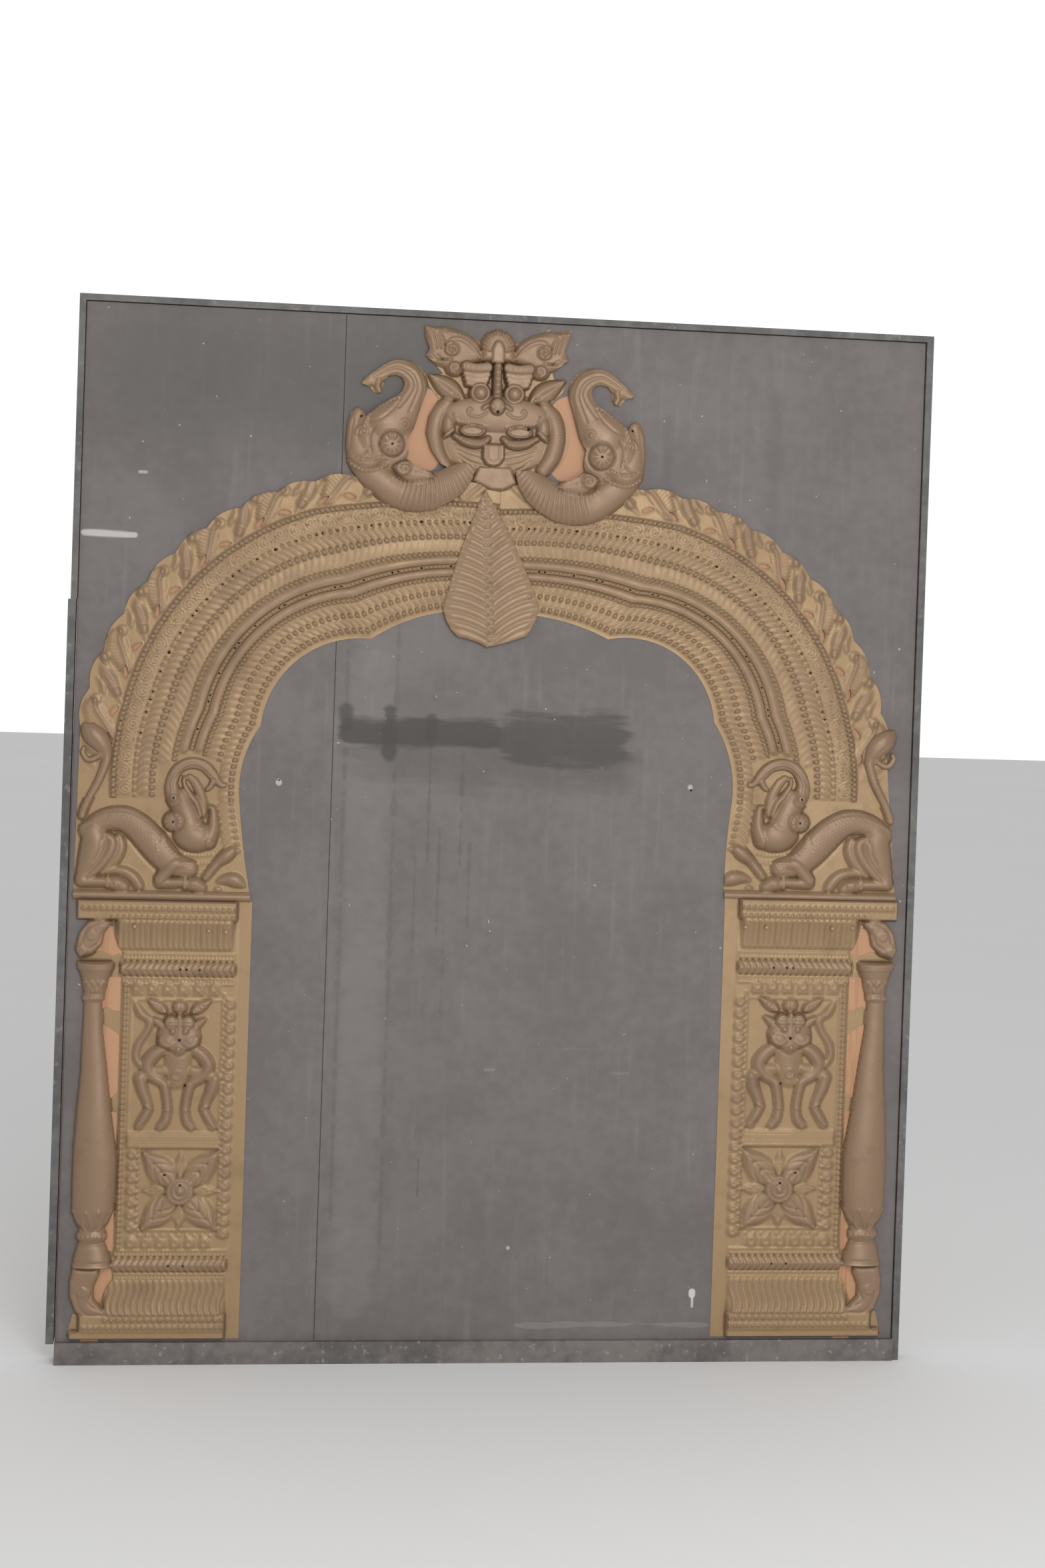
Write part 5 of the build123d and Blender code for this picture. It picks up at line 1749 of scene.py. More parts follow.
                canvas.line(at(((62 + toe, 500 - toe), (74 + toe, 488 - 0.3 * toe))), 1.6, -1.8, 2)
            canvas.feather(*at(((24, 726), (66, 754))), 22, 9, 5, 4)
            canvas.spiral(*at(((34, 730),))[0], 7, 2.4, mirror, 90)
            canvas.feather(*at(((26, 694), (56, 716))), 17, 8, 6, 4)
            canvas.dome(*at(((22, 668),))[0], 21, 18, 16, 0, 6, 0.5)
        canvas.dome(-651, 678, 44, 34, 14, 0, 5, 0.5)
        canvas.pad(((-694, 680), (-688, 662), (-651, 633), (-614, 662), (-606, 680)), 15, 10, 4)
        canvas.dome(-651, 738, 15, 14, 9, 0, 4, 0.5)
        canvas.line(((-651, 750), (-651, 726)), 1.8, -1.8)
        canvas.limb(((-651, 720, 5), (-651, 690, 6), (-651, 674, 9)), 0.7, 15)
        for mirror in (1, -1):
            canvas.dome(-651 + mirror * 17, 707, 13, 14, 6, 0, 15, 0.35)
            for z in (714, 707, 700):
                canvas.line(((-651 + mirror * 6, z), (-651 + mirror * 17, z - 1),
                    (-651 + mirror * 28, z + 1)), 2.0, -2.8)
            canvas.dome(-651 + mirror * 13, 690, 6, 6, 5, 0, 19)
            canvas.line([(-651 + mirror * x, z)
                for x, z in ((8, 666), (20, 658), (34, 664), (38, 676), (32, 680))], 2.4, 2.8)
            canvas.line([(-651 + mirror * x, z) for x, z in ((5, 652), (20, 648), (34, 656))], 2.2, -2.2)
        canvas.dome(-652, 653, 6.5, 6.5, 5)
        for x in range(-669, -630, 6):
            canvas.line(((x, 645), (0.6 * x - 260.4, 636)), 1.4, -1.3, 2)
        canvas.pin_hole(-650, 672, 3.0)

    @staticmethod
    def draw_flower(canvas: ReliefCanvas) -> None:
        """Draw the flower in the lower panel."""
        for z in (276, 447):
            canvas.line(((-725, z), (-642, z), (-560, z)), 2.4, 2.6, 2)
        for x in (-725, -560):
            canvas.line(((x, 276), (x, 360), (x, 447)), 2.2, 2.2, 2)
        centre = (-640, 358)
        for x, z in ((0, 82), (0, -82), (80, 0), (-80, 0)):
            canvas.feather(centre, (centre[0] + x, centre[1] + z), 34, 6, 6, 2.2, 0.6)
            for share in (-0.07, 0.07):
                canvas.line(((centre[0] + 0.4 * x + share * z, centre[1] + 0.4 * z + share * x),
                    (centre[0] + 0.85 * x + 0.3 * share * z, centre[1] + 0.85 * z + 0.3 * share * x)),
                    1.6, -1.6)
        for x, z in ((78, 82), (-78, 82), (78, -82), (-78, -82)):
            root = (centre[0] + 0.1 * x, centre[1] + 0.1 * z)
            canvas.feather(root, (centre[0] + x, centre[1] + z), 62, 9, 0, 3)
            for reach, spread in ((0.93, 0.26), (0.70, 0.2), (0.5, 0.13)):
                for hand in (1, -1):
                    bend = [(centre[0] + share * reach * x - hand * spread * lean * z,
                             centre[1] + share * reach * z + hand * spread * lean * x)
                            for share, lean in ((0.25, 0.6), (0.5, 0.95), (0.75, 0.75), (1.0, 0.0))]
                    canvas.line(bend, 2.0, -2.4)
        canvas.dome(*centre, 30, 30, 11, 0, 4, 0.3)
        canvas.ring(*centre, 25, 4.5, 3.0)
        for turn in np.radians(np.arange(0, 360, 18)):
            canvas.line(((centre[0] + 21 * math.cos(turn), centre[1] + 21 * math.sin(turn)),
                (centre[0] + 29 * math.cos(turn + 0.2), centre[1] + 29 * math.sin(turn + 0.2))),
                1.5, -1.8, 2)
        canvas.ring(*centre, 14.5, 3, 3.0)
        canvas.dome(*centre, 8, 8, 4)
        canvas.pin_hole(-640, 372)

    @staticmethod
    def draw_column(canvas: ReliefCanvas) -> None:
        """Draw the half column, its brackets and the webs that tie it to the panel."""
        for outline in COLUMN_WEBS:
            canvas.keep(outline)
        canvas.turned(COLUMN_PROFILE, 0.62, 3)
        for z, half in ((755.5, 19), (265.5, 27)):
            axis = -828 if z > 600 else -816
            canvas.beads(((axis - half, z), (axis, z), (axis + half, z)), 8.4, 3.8, 3.0)
        for shift in (-30, -10, 10, 30):
            for foot, tall, spread, axis in ((279, 40, 1.35, -816), (768, 22, 1.1, -825)):
                lean = shift if foot < 600 else 0.6 * shift
                for side in (-8, 8):
                    canvas.line(((axis + 0.7 * lean + side, foot),
                        (axis + spread * lean + side, foot + 0.6 * tall),
                        (axis + spread * lean, foot + tall)), 2.2, 2.4)
        for z, half in ((823, 36), (818, 34), (250, 24), (212, 38)):
            axis = -826 if z > 600 else -816
            canvas.line(((axis - half, z), (axis, z), (axis + half, z)), 1.8, -2.4, 3)
        for outline, first in COLUMN_BRACKETS:
            canvas.keep(outline)
            canvas.pad(outline, 12, 14, 4)
            rim = outline[first:first + 4]
            canvas.beads([(x + 0.16 * (-828 - x), z) for x, z in rim], 7.4, 2.6, 2.4)
        for points in (((-802, 906), (-826, 908), (-846, 894), (-854, 872)),
                ((-816, 886), (-822, 868), (-838, 856)),
                ((-790, 104), (-820, 104), (-838, 122), (-846, 148)),
                ((-812, 150), (-818, 128), (-804, 116))):
            canvas.line(points, 2.4, -2.8)
        for x, z, hand in ((-853, 852, 1), (-833, 150, -1), (-834, 884, 1)):
            canvas.spiral(x, z, 10, 3.2, hand, 90)


@dataclass(frozen=True)
class KeystoneLeaf:
    """The veined leaf that covers the joint of the two halves."""

    left: float = -135.0
    foot: float = 1497.0
    width: float = 201.0
    length: float = 331.0
    seat: float = 9.0
    pitch: float = 1.8
    outline_shares: tuple = ((0.40, 1.0), (0.16, 0.60), (0.0, 0.25), (0.05, 0.15), (0.165, 0.065),
        (0.32, 0.045), (0.47, 0.005), (0.70, 0.045), (0.87, 0.08), (0.97, 0.185), (1.0, 0.28),
        (0.746, 0.63), (0.40, 1.0))
    rib: tuple = ((-53, 1820), (-46, 1690), (-39, 1590), (-33, 1504))
    left_veins: tuple = (0.62, 0.0034, 18.5)
    right_veins: tuple = (0.95, 0.0042, 20.0)
    soft: float = 14.0

    def outline(self) -> Array:
        """Give the leaf's edge as arcs through its points."""
        points = np.array(self.outline_shares) * (self.width, self.length) + (self.left, self.foot)
        arcs = [arc_points(points[k][None], points[k + 1][None], points[k + 2][None],
            np.linspace(0, 1, 11)[:-1])[0] for k in range(0, len(points) - 2, 2)]
        return np.vstack(arcs)

    def dress(self, material: Material) -> None:
        """Build the leaf and give it its finish."""
        canvas = ReliefCanvas(self.left - 4, self.left + self.width + 4, self.foot - 4,
            self.foot + self.length + 2, self.pitch, self.seat)
        canvas.keep(self.outline())
        line = smooth_line(self.rib, 10)[::-1]
        middle = np.interp(canvas.z, line[:, 1], line[:, 0])[:, None]
        aside = canvas.x[None, :] - middle
        reach = np.abs(aside)
        slope, bend, spacing = (np.where(aside > 0, *pair)
            for pair in zip(self.right_veins, self.left_veins))
        phase = (canvas.z[:, None] - (slope * reach - bend * reach ** 2)) / spacing
        inside = np.clip(-canvas.edge / self.soft, 0, 1)
        vein = np.abs(np.cos(np.pi * phase)) ** 1.4
        canvas.height += inside ** 0.6 * (4.0 + 4.6 * vein * np.clip(reach / 8.0, 0, 1))
        canvas.height -= 1.5 * rounded(reach / 9.0, 1.0)
        canvas.beads(self.rib, 9.6, 4.2, 5.0)
        for x, z in ((-80, 1745), (-92, 1728), (-101, 1708), (-114, 1656), (-119, 1638), (-122, 1615),
                (10, 1690), (45, 1607)):
            canvas.dome(x, z, 4.2, 4.2, 3.6)
        piece = canvas.sheet(lambda x, z: (x, z)).build("keystone_veined_leaf", 3.0)
        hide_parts("keystone_leaf")
        mount(piece, material)


MAKARA_OUTLINE = (
    (-320, 2037), (-310, 2050), (-292, 2062), (-276, 2075), (-256, 2086), (-235, 2090), (-214, 2086),
    (-199, 2076), (-188, 2062), (-182, 2045), (-183, 2028), (-190, 2008), (-197, 1985), (-203, 1965),
    (-208, 1948), (-215, 1935), (-222, 1925), (-219, 1910), (-218, 1895), (-221, 1884), (-205, 1870),
    (-190, 1863), (-170, 1861), (-152, 1862), (-135, 1872), (-105, 1880), (-76, 1876), (-84, 1846),
    (-100, 1820), (-125, 1800), (-160, 1781), (-200, 1774), (-235, 1774), (-262, 1786), (-288, 1800),
    (-308, 1822), (-328, 1846), (-345, 1871), (-348, 1910), (-346, 1950), (-340, 1976), (-326, 1988),
    (-314, 1980), (-309, 1968), (-300, 1976), (-280, 1993), (-262, 2004), (-246, 2011), (-234, 2024),
    (-230, 2040), (-236, 2052), (-248, 2057), (-263, 2054), (-272, 2045), (-275, 2030), (-279, 2019),
    (-290, 2017), (-300, 2028),
)


@dataclass(frozen=True)
class CrestMakara:
    """The trunked creature beside the mask, drawn as on the left."""

    side: Side
    pitch: float = 1.8
    box: tuple = (-354.0, -70.0, 1768.0, 2096.0)
    ground: float = 3.0

    def dress(self, material: Material) -> None:
        """Build the creature and give it its finish."""
        canvas = ReliefCanvas(*self.box, self.pitch, self.ground)
        canvas.keep(MAKARA_OUTLINE)
        self.draw_forms(canvas)
        self.draw_marks(canvas)
        piece = canvas.sheet(partial(MAKARA_FIT.place, self.side)).build(f"crest_creature_{self.side.word}")
        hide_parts(f"crest_makara_{self.side.word}")
        mount(piece, material)

    @staticmethod
    def draw_forms(canvas: ReliefCanvas) -> None:
        """Draw the body, the head and the trunk."""
        canvas.limb(((-96, 1864, 30), (-128, 1836, 38), (-165, 1819, 42), (-205, 1813, 40),
            (-240, 1818, 36), (-275, 1840, 33), (-308, 1872, 32), (-322, 1910, 26), (-328, 1950, 18),
            (-324, 1975, 11)), 0.6, 4, power=0.5)
        canvas.dome(-272, 1922, 66, 72, 20, 10, 6, 0.5)
        canvas.limb(((-262, 1950, 50), (-240, 1974, 42), (-220, 2004, 32), (-208, 2034, 25),
            (-220, 2060, 22), (-247, 2072, 19), (-276, 2061, 16), (-300, 2044, 12), (-314, 2037, 8)),
            0.55, 4, power=0.5)
        canvas.limb(((-284, 2047, 9), (-286, 2032, 7), (-282, 2022, 6)), 0.9, 5)

    @staticmethod
    def draw_marks(canvas: ReliefCanvas) -> None:
        """Draw the ribs, ridges, beads and pin holes."""
        area, x, z = canvas.window(-260, -75, 1770, 1880)
        away = np.hypot(x + 178, z - 1960)
        angle = np.degrees(np.arctan2(x + 178, 1960 - z))
        band = np.clip((away - 92) / 12, 0, 1) * np.clip((angle + 22) / 6, 0, 1)
        canvas.height[area] += 3.2 * band * (np.abs(np.cos(np.pi * angle / 4.1)) ** 0.8 - 0.6)
        for shift, depth in ((-13, -2.2), (-4, -2.4), (5, -2.4), (13, -2.0)):
            share = shift / 14
            canvas.line(((-232 + 34 * share, 1985 - 12 * share), (-216 + 24 * share, 2012 - 4 * share),
                         (-208 + 19 * share, 2036), (-219 + 14 * share, 2059 + 12 * share),
                         (-247, 2071 + 14 * share), (-275 - 5 * share, 2060 + 10 * share),
                         (-298 - 4 * share, 2044 + 7 * share)), 2.2, depth)
        canvas.rosette(-253, 1912, 25, 10, 9)
        almond = ((-307, 1956), (-282, 1962), (-256, 1982), (-239, 2007), (-268, 1999), (-295, 1980))
        canvas.stipple(almond, 5.0, 2.0, 1.8, 36)
        canvas.line((*almond, almond[0]), 1.8, -1.9)
        canvas.dome(-229, 1954, 6.5, 6.5, 5)
        canvas.ring(-229, 1954, 10, 2.4, 2.4)
        canvas.beads(((-312, 1950), (-300, 1974), (-284, 1990), (-262, 2002), (-244, 2011)), 8.6, 4.0, 4.2)
        canvas.beads(((-338, 1868), (-314, 1856), (-288, 1858), (-264, 1868)), 9.0, 4.4, 4.2)
        canvas.beads(((-314, 1878), (-294, 1878), (-276, 1884)), 8.0, 3.6, 3.4)
        canvas.line(((-344, 1880), (-318, 1866), (-288, 1868), (-262, 1880)), 2.4, -3.2)
        canvas.feather((-250, 1866), (-160, 1848), 42, 8, 9, 25, 0.5)
        canvas.dome(-228, 1862, 18, 16, 4)
        canvas.spiral(-228, 1862, 15, 4.0, 1, 60)
        canvas.beads(((-248, 1846), (-235, 1836), (-214, 1832), (-190, 1836), (-170, 1848)), 8.8, 3.6, 3.6)
        canvas.spiral(-315, 1935, 13, 3.6, -1, 200)
        canvas.line(((-300, 1905), (-310, 1890), (-330, 1885)), 2.2, -2.6)
        canvas.line(((-290, 1945), (-300, 1925), (-296, 1895)), 2.4, -2.8)
        canvas.line(((-340, 1900), (-338, 1930), (-334, 1962)), 2.0, -2.0)
        for x, z in ((-253, 1912), (-318, 1968)):
            canvas.pin_hole(x, z)


MASK_OUTLINE = (
    (-193, 2163), (-175, 2160), (-150, 2162), (-125, 2157), (-100, 2148), (-76, 2133), (-68, 2148),
    (-55, 2158), (-38, 2162), (-20, 2158), (-8, 2146), (0, 2133), (14, 2139), (36, 2152), (56, 2158),
    (70, 2167), (76, 2159), (95, 2163), (117, 2165), (113, 2145), (102, 2122), (114, 2104), (95, 2090),
    (79, 2076), (82, 2064), (110, 2062), (102, 2036), (78, 2012), (97, 1995), (113, 1965), (119, 1940),
    (113, 1905), (99, 1880), (84, 1866), (60, 1850), (30, 1840), (5, 1838), (-5, 1827), (-25, 1824),
    (-50, 1828), (-65, 1838), (-85, 1846), (-112, 1860), (-150, 1876), (-171, 1905), (-183, 1940),
    (-178, 1975), (-157, 2013), (-178, 2036), (-187, 2062), (-150, 2064), (-165, 2080), (-188, 2100),
    (-180, 2115), (-190, 2136),
)


@dataclass(frozen=True)
class CrestMask:
    """The bulging-eyed mask over the keystone, with its crown, ears and mane."""

    middle: float = -37.5
    pitch: float = 1.6
    box: tuple = (-198.0, 122.0, 1820.0, 2170.0)
    ground: float = 3.0

    def both(self, points: Line) -> tuple:
        """Give points of the left side and their mirror image about the face's middle."""
        return points, [(2 * self.middle - point[0], *point[1:]) for point in points]

    def pair(self, form: Callable[..., None], points: Line, *sizes: float, **more: float) -> None:
        """Raise one of the canvas's forms on both sides of the face."""
        for side in self.both(points):
            form(side, *sizes, **more)

    def dress(self, material: Material) -> None:
        """Build the mask and give it its finish."""
        canvas = ReliefCanvas(*self.box, self.pitch, self.ground)
        canvas.keep(MASK_OUTLINE)
        self.draw_crown(canvas)
        self.draw_face(canvas)
        self.draw_mouth(canvas)
        piece = canvas.sheet(lambda x, z: (x, z)).build("crest_lion_mask")
        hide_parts("crest_mask")
        mount(piece, material)

    def draw_crown(self, canvas: ReliefCanvas) -> None:
        """Draw the crown leaves, the palmette and the ears."""
        self.pair(canvas.pad, ((-192, 2162), (-160, 2159), (-149, 2162), (-124, 2155), (-101, 2148),
            (-80, 2131), (-64, 2096), (-110, 2080), (-146, 2076), (-178, 2086), (-192, 2101), (-184, 2110),
            (-188, 2135)), 11, 20, 4)
        for points in self.both(((-134, 2115), (-127, 2077))):
            hand = 1 if points[0][0] < self.middle else -1
            canvas.dome(*points[0], 17, 16, 4)
            canvas.spiral(*points[0], 15, 4.4, hand, 90)
            canvas.dome(*points[1], 20, 17, 12, 0, 8)
            canvas.spiral(*points[1], 12, 3.6, -hand, 270)
        self.pair(canvas.limb, ((-148, 2112, 3), (-146, 2126, 5), (-132, 2136, 6), (-112, 2134, 6),
            (-92, 2120, 5), (-76, 2100, 3)), 0.7, 13)
        self.pair(canvas.beads, ((-140, 2150), (-119, 2146), (-96, 2136), (-78, 2120), (-66, 2100)),
            7.2, 2.9, 3.0)
        for shift in (0, 9, 18):
            self.pair(canvas.line, ((-184 + shift, 2156 - 0.3 * shift), (-172 + shift, 2138),
                (-166 + shift, 2116)), 2.3, -3.4)
            self.pair(canvas.line, ((-184 + shift, 2098 + 0.2 * shift), (-168 + shift, 2092),
                (-152 + shift, 2094)), 2.2, -3.0)
        canvas.pad(((-73, 2092), (-73, 2134), (-62, 2151), (-40, 2161), (-15, 2153), (-2, 2135),
            (-2, 2092)), 13, 14, 5)
        for turn in np.radians(np.linspace(8, 172, 15)):
            canvas.line(((self.middle + 15 * math.cos(turn), 2112 + 22 * math.sin(turn)),
                         (self.middle + 36 * math.cos(turn), 2112 + 48 * math.sin(turn))), 2.2, -4.2, 2)
        canvas.pad(((-51, 2090), (-51, 2118), (-46, 2132), (-37.5, 2138), (-29, 2132), (-24, 2118),
            (-24, 2090)), 4, 6, 17)
        for points in self.both(((-106, 2012), (-183, 2062))):
            canvas.feather(points[0], points[1], 40, 13, 17, 8)

    def draw_face(self, canvas: ReliefCanvas) -> None:
        """Draw the mane, the brows, the eyes and the nose."""
        canvas.dome(self.middle, 1945, 124, 90, 12, 0, 4, 0.5)
        self.pair(canvas.limb, ((-140, 1872, 15), (-158, 1902, 18), (-166, 1942, 18), (-158, 1978, 18),
            (-140, 2002, 15)), 0.75, 4, power=0.5)
        area, x, z = canvas.window(-190, 120, 1850, 2020)
        away = np.hypot(x - self.middle, z - 1940)
        angle = np.degrees(np.arctan2(z - 1940, np.abs(x - self.middle)))
        ring = np.clip((away - 113) / 3, 0, 1) * (np.abs(angle) < 48)
        canvas.height[area] += 2.2 * ring * (np.abs(np.cos(np.pi * (angle / 2.6 + away / 26))) - 0.6)
        canvas.dome(self.middle, 1984, 108, 38, 12, 0, 14, 0.5)
        canvas.limb(((self.middle, 2082, 9), (self.middle, 2050, 9), (self.middle, 2012, 10)), 0.8, 18)
        for z in (2084, 2070, 2057, 2044, 2030):
            canvas.dome(self.middle, z, 9, 6.5, 4.5)
        for side, centre in ((-1, -81.5), (1, 6.5)):
            for middle, half, tall in ((2078, 33, 11), (2063, 30, 7), (2053, 27, 6), (2044, 24, 6)):
                canvas.limb(((centre - half + tall, middle + 2, tall), (centre, middle - 2, tall),
                             (centre + half - tall, middle + 2, tall)), 0.5, 20, power=0.35)
            canvas.flutes(centre - 31, centre + 31, 2070, 2088, 11, 2.6)
            eye = centre - 8.5 * side
            canvas.dome(eye, 2026, 22, 21, 10, 0, 18, 0.4)
            canvas.ring(eye, 2026, 18.5, 2.8, 3.2)
            canvas.dome(eye, 2026, 14.5, 14, 9, power=0.5)
        canvas.dome(self.middle, 1999, 15, 17, 9, 0, 32, 0.5)
        self.pair(canvas.line, ((-46, 1996), (-56, 2001), (-66, 1994)), 5.0, 5.0)
        self.pair(canvas.line, ((-58, 1986), (-74, 1977), (-90, 1978), (-98, 1986), (-94, 1993),
            (-89, 1989)), 2.2, 2.8)
        for x, z in ((-37, 1987), (30, 1955)):
            canvas.pin_hole(x, z, 3.2)

    def draw_mouth(self, canvas: ReliefCanvas) -> None:
        """Draw the lips, the pearls, the tongue and the beard."""
        turns = np.radians(np.linspace(0, 345, 24))
        for patch in self.both([(-87 + 26 * math.cos(turn), 1947 + 12 * math.sin(turn)) for turn in turns]):
            area, x, z = canvas.around(patch)
            inside = np.clip(-outline_distance(x, z, patch) / 4, 0, 1)
            canvas.height[area] = np.where(inside > 0, 27 - 5 * inside, canvas.height[area])
            canvas.stipple(patch, 4.8, 2.0, 2.2)
            canvas.line((*patch, patch[0]), 2.2, 3.4, 1)
        self.pair(canvas.beads, ((-126, 1980), (-119, 1965), (-93, 1962), (-58, 1956)), 6.4, 2.9, 3.4)
        self.pair(canvas.limb, ((-124, 1936, 5), (-98, 1924, 9), (-70, 1922, 9), (-54, 1932, 6)), 0.8, 22)
        self.pair(canvas.beads, ((-122, 1934), (-98, 1920), (-70, 1918), (-56, 1928)), 9.0, 4.6, 3.0)
        for points in self.both(((-137, 1958), (-128, 1948))):
            sign = 1 if points[0][0] < self.middle else -1
            canvas.dome(*points[0], 14, 24, 12, 0, 12, 0.5)
            canvas.limb(((*points[1], 5), (points[1][0] - 10 * sign, 1939, 5),
                (points[1][0] - 18 * sign, 1932, 2)), 1.0, 22)
            for shift in (0, 12, 24, 36):
                canvas.line(((points[0][0] + sign * (12 + shift * 0.4), 1918 - shift * 0.8),
                    (points[0][0] + sign * 44, 1909 - shift),
                    (points[0][0] + sign * 76, 1902 - shift * 1.1)), 2.2, -2.2)
        canvas.pad(((-64, 1922), (-64, 1892), (-56, 1879), (-42, 1874), (-28, 1879), (-19, 1892),
            (-19, 1922)), 9, 6, 16)
        for inset, lift in ((3, 2.6), (10, 1.6)):
            canvas.line(((-64 + inset, 1918), (-64 + inset, 1893), (-55 + 0.6 * inset, 1880 + 0.7 * inset),
                (-42, 1875 + inset), (-28 - 0.6 * inset, 1880 + 0.7 * inset), (-19 - inset, 1893),
                (-19 - inset, 1918)), 2.2, lift)
        canvas.pad(((-70, 1878), (-3, 1878), (12, 1842), (-18, 1826), (-42, 1826), (-84, 1845)), 9, 6, 4)
        canvas.flutes(-80, 8, 1828, 1872, 18, 1.8)


@dataclass(frozen=True)
class Board:
    """The painted plywood board with its strips, rail and rear battens, kept as the solids are."""

    sheets: tuple = ("board_sheet_left", "board_sheet_right")
    strips: tuple = ("edge_strip_top", "edge_strip_right", "edge_strip_left_upper", "edge_strip_left_lower")
    rail: str = "bottom_rail"
    battens: tuple = ("rear_stile_left", "rear_stile_right", "rear_rail_top", "rear_rail_bottom",
        "seam_batten", "mid_rail_left", "mid_rail_right")

    def dress(self, effects: SharedEffects) -> None:
        """Give the board's solids their finishes.

        Args:
            effects: The shared node groups.
        """
        strip = TimberPaint("strip_paint", (0.085, 0.08, 0.076), (0.15, 0.143, 0.136),
            (0.28, 0.26, 0.24), 0.4)
        rail = TimberPaint("rail_paint", (0.095, 0.084, 0.078), (0.175, 0.156, 0.145),
            (0.33, 0.31, 0.29), 0.6)
        finishes = ((self.sheets, BoardPaint("board_paint")), (self.strips, strip), ((self.rail,), rail),
                    (self.battens, SawnTimber("sawn_timber")))
        for names, finish in finishes:
            material = finish.make(effects)
            for name in names:
                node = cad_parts[name]
                node.data.materials.clear()
                node.data.materials.append(material)
            LOG.info("%s on %d solids", material.name, len(names))


@dataclass(frozen=True)
class Nails:
    """Round nail heads on the coves."""

    places: tuple = ((-748, 904), (-597, 897), (-562, 895), (530, 925), (575, 925), (718, 925), (762, 927))
    radius: float = 4.5
    flatness: float = 0.7
    back: float = 2.8

    def model(self) -> Piece:
        """Model one head at the origin, looking to the front."""
        bpy.ops.object.select_all(action="DESELECT")
        bpy.ops.mesh.primitive_uv_sphere_add(segments=12, ring_count=8, radius=self.radius * MM,
                                             rotation=(math.pi / 2, 0, 0))
        head = bpy.context.active_object
        bpy.ops.object.transform_apply(location=True, rotation=True, scale=True)
        bpy.ops.object.mode_set(mode="EDIT")
        bpy.ops.mesh.select_all(action="SELECT")
        bpy.ops.transform.resize(value=(1.0, self.flatness, 1.0))
        bpy.ops.mesh.bisect(plane_co=(0, self.back * MM, 0), plane_no=(0, 1, 0),
            use_fill=True, clear_outer=True)
        bpy.ops.object.mode_set(mode="OBJECT")
        bpy.ops.object.shade_smooth_by_angle(angle=SMOOTH_ANGLE)
        return head

    def seat(self, x: float, z: float) -> float:
        """Give the place, front to back, of the relief's crest under a head, in metres.

        Args:
            x: Place across, in millimetres.
            z: Place up.

        Returns:
            The crest's place.
        """
        side = Side.LEFT if x < 0 else Side.RIGHT
        mesh = bpy.data.objects[f"pillar_panel_{side.word}"].data
        spots = vertex_places(mesh)
        under = np.hypot(spots[:, 0] - x * MM, spots[:, 2] - z * MM) < self.radius * MM
        return float(spots[under, 1].min())

    def dress(self, material: Material) -> None:
        """Copy the head to each place, seat it and give it its finish."""
        head = self.model()
        for number, (x, z) in enumerate(self.places):
            bpy.ops.object.select_all(action="DESELECT")
            head.select_set(True)
            bpy.context.view_layer.objects.active = head
            bpy.ops.object.duplicate(linked=False)
            piece = bpy.context.active_object
            piece.location = (x * MM, self.seat(x, z), z * MM)
            bpy.ops.object.transform_apply(location=True, rotation=True, scale=True)
            piece.name = f"nail_head_{number}"
            mount(piece, material)
        bpy.data.objects.remove(head, do_unlink=True)


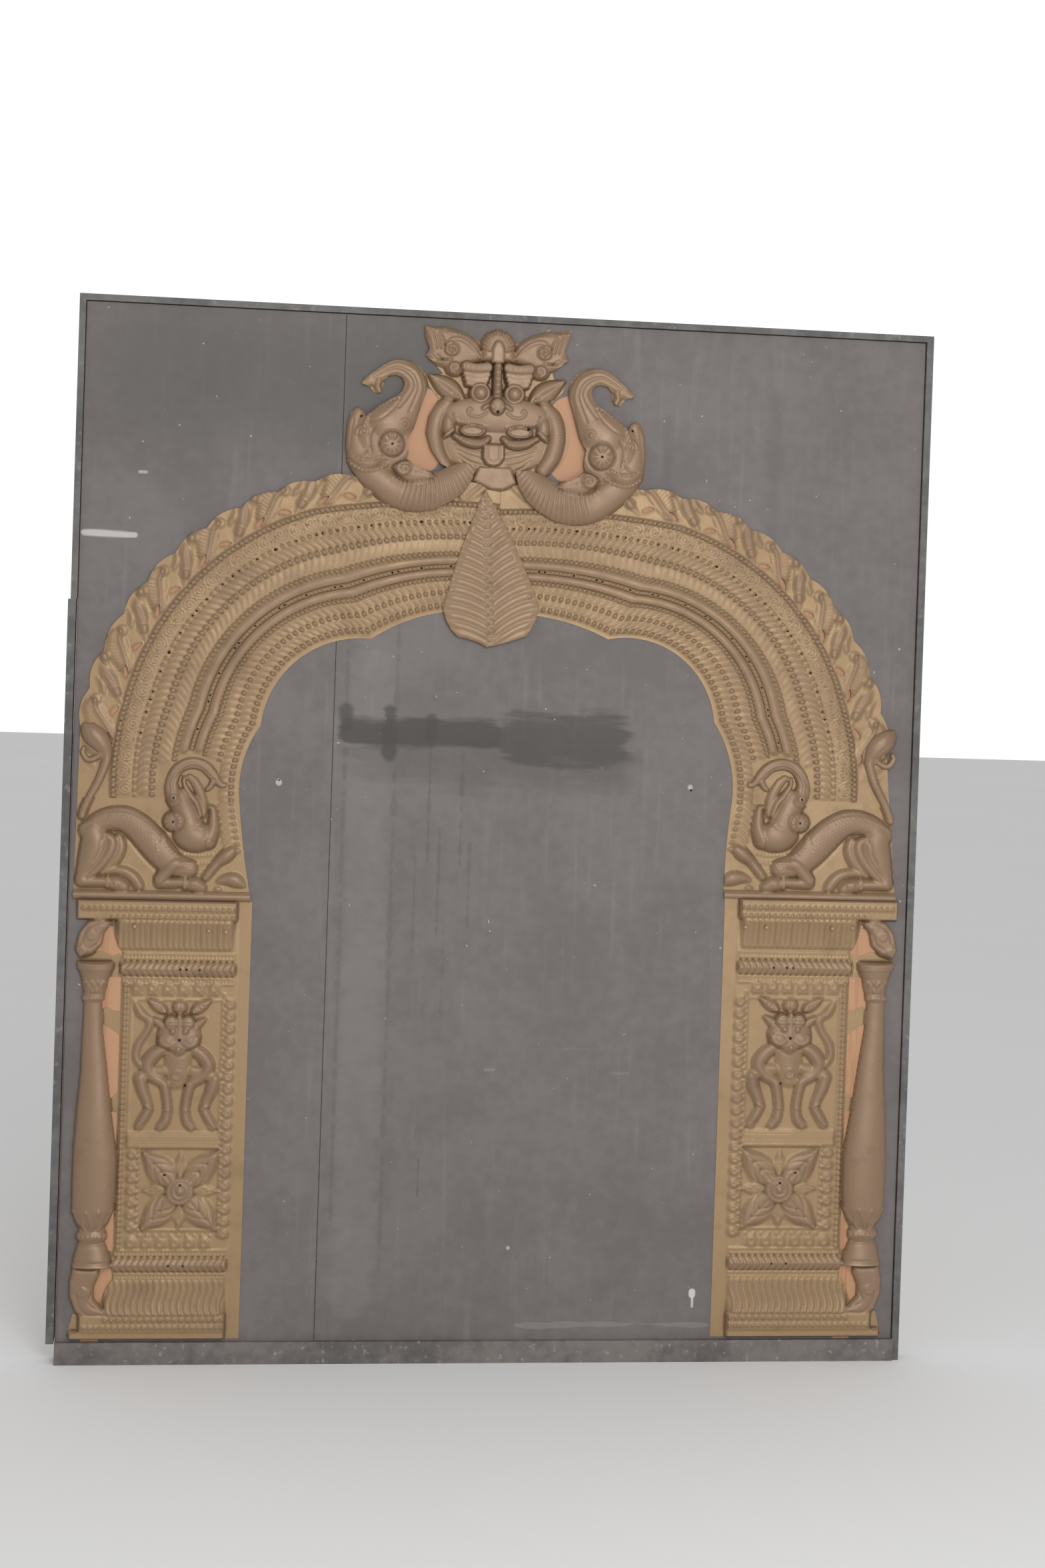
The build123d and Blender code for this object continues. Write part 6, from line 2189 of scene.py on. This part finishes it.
@dataclass(frozen=True)
class Studio:
    """The floor, the light and the camera."""

    eye: tuple = (-612.1, -5025.2, 1508.8)
    yaw: float = 0.1297
    pitch: float = -0.0140
    roll: float = -0.0334
    lens: float = 82.65
    sensor: float = 36.0
    rise: float = -0.102
    floor_size: float = 60.0
    floor_tones: tuple = ((0.84, 0.84, 0.84), (0.88, 0.88, 0.88))
    room_light: float = 0.6
    room_seen: float = 0.45
    lamps: tuple = (
        ("key", (0.2, -4.6, 3.0), 1.5, 66, (71, 0, 3)), ("fill", (1.2, -4.6, 1.2), 2.0, 42, (91, 0, 14)))

    def build(self) -> None:
        """Build the studio."""
        self.build_floor()
        self.build_light()
        self.build_camera()

    def build_floor(self) -> None:
        """Lay a plain pale floor."""
        bpy.ops.object.select_all(action="DESELECT")
        bpy.ops.mesh.primitive_plane_add(size=self.floor_size, location=(0, 0, 0))
        floor = bpy.context.active_object
        floor.name = "floor"
        finish = Finish("floor_pale")
        cloud = finish.desk.noise(finish.place, 0.6, 2.0)
        finish.colour(finish.desk.blend(cloud, *self.floor_tones))
        finish.surface.inputs["Roughness"].default_value = 0.9
        floor.data.materials.append(finish.material)

    def build_light(self) -> None:
        """Hang soft lamps in a pale room."""
        world = bpy.data.worlds.new("pale_room")
        bpy.context.scene.world = world
        world.use_nodes = True
        desk = NodeDesk(world.node_tree)
        background = world.node_tree.nodes["Background"]
        background.inputs["Color"].default_value = (1.0, 1.0, 1.0, 1.0)
        seen = desk.add("ShaderNodeLightPath").outputs["Is Camera Ray"]
        shown = desk.compute("MULTIPLY", seen, self.room_seen)
        desk.feed(background.inputs["Strength"], desk.compute("ADD", shown, self.room_light))
        bpy.context.scene.view_settings.view_transform = "Standard"
        for name, place, size, energy, turn in self.lamps:
            lamp = bpy.data.lights.new(name, "AREA")
            lamp.energy = energy
            lamp.size = size
            holder = bpy.data.objects.new(name, lamp)
            holder.location = place
            holder.rotation_euler = [math.radians(angle) for angle in turn]
            bpy.context.collection.objects.link(holder)

    def build_camera(self) -> None:
        """Set the camera at the photo's viewpoint."""
        forward = np.array((math.sin(self.yaw) * math.cos(self.pitch),
            math.cos(self.yaw) * math.cos(self.pitch), math.sin(self.pitch)))
        right = np.array((math.cos(self.yaw), -math.sin(self.yaw), 0.0))
        down = np.cross(forward, right)
        level = math.cos(self.roll) * right + math.sin(self.roll) * down
        drop = -math.sin(self.roll) * right + math.cos(self.roll) * down
        lens = bpy.data.cameras.new("view")
        lens.lens = self.lens
        lens.sensor_width = self.sensor
        lens.shift_y = self.rise
        lens.sensor_fit = "HORIZONTAL"
        lens.clip_end = 200.0
        camera = bpy.data.objects.new("view", lens)
        rows = [(level[row], -drop[row], -forward[row], self.eye[row] * MM) for row in range(3)]
        camera.matrix_world = Matrix((*rows, (0.0, 0.0, 0.0, 1.0)))
        bpy.context.collection.objects.link(camera)
        bpy.context.scene.camera = camera


LEFT_HALF = ArchHalf(
    Side.LEFT, 957, 1165,
    ((0.3, 1569), (148, 1561), (260, 1508), (408, 1462), (482, 1322), (515, 1250), (521, 1165)),
    ((0.3, 1792), (200, 1791), (381, 1768), (611, 1631), (750, 1390), (775, 1270), (778, 1165)),
    (511, 1075), 491, 853, 1242)
RIGHT_HALF = ArchHalf(
    Side.RIGHT, 985, 1185,
    ((0.3, 1569), (120, 1563), (238, 1524), (418, 1470), (471, 1356), (507, 1280), (515, 1185)),
    ((0.3, 1781), (200, 1783), (381, 1763), (609, 1632), (751, 1390), (775, 1290), (779, 1185)),
    (507, 1090), 505, 878, 1238)


def main() -> None:
    """Build and dress the object, then the studio around it."""
    logging.basicConfig(level=logging.INFO, format="%(message)s")
    effects = SharedEffects.make()
    brass = AgedBrass("aged_brass").make(effects)
    dull = AgedBrass("dull_brass", raised=(0.335, 0.222, 0.136), ground=(0.385, 0.262, 0.152)).make(effects)
    Board().dress(effects)
    for half in (LEFT_HALF, RIGHT_HALF):
        half.dress(brass)
    for side in Side:
        Pillar(side).dress(brass)
        CrestMakara(side).dress(brass)
    CrestMask().dress(brass)
    KeystoneLeaf().dress(dull)
    Nails().dress(dull)
    Studio().build()


if __name__ == "__main__":
    main()
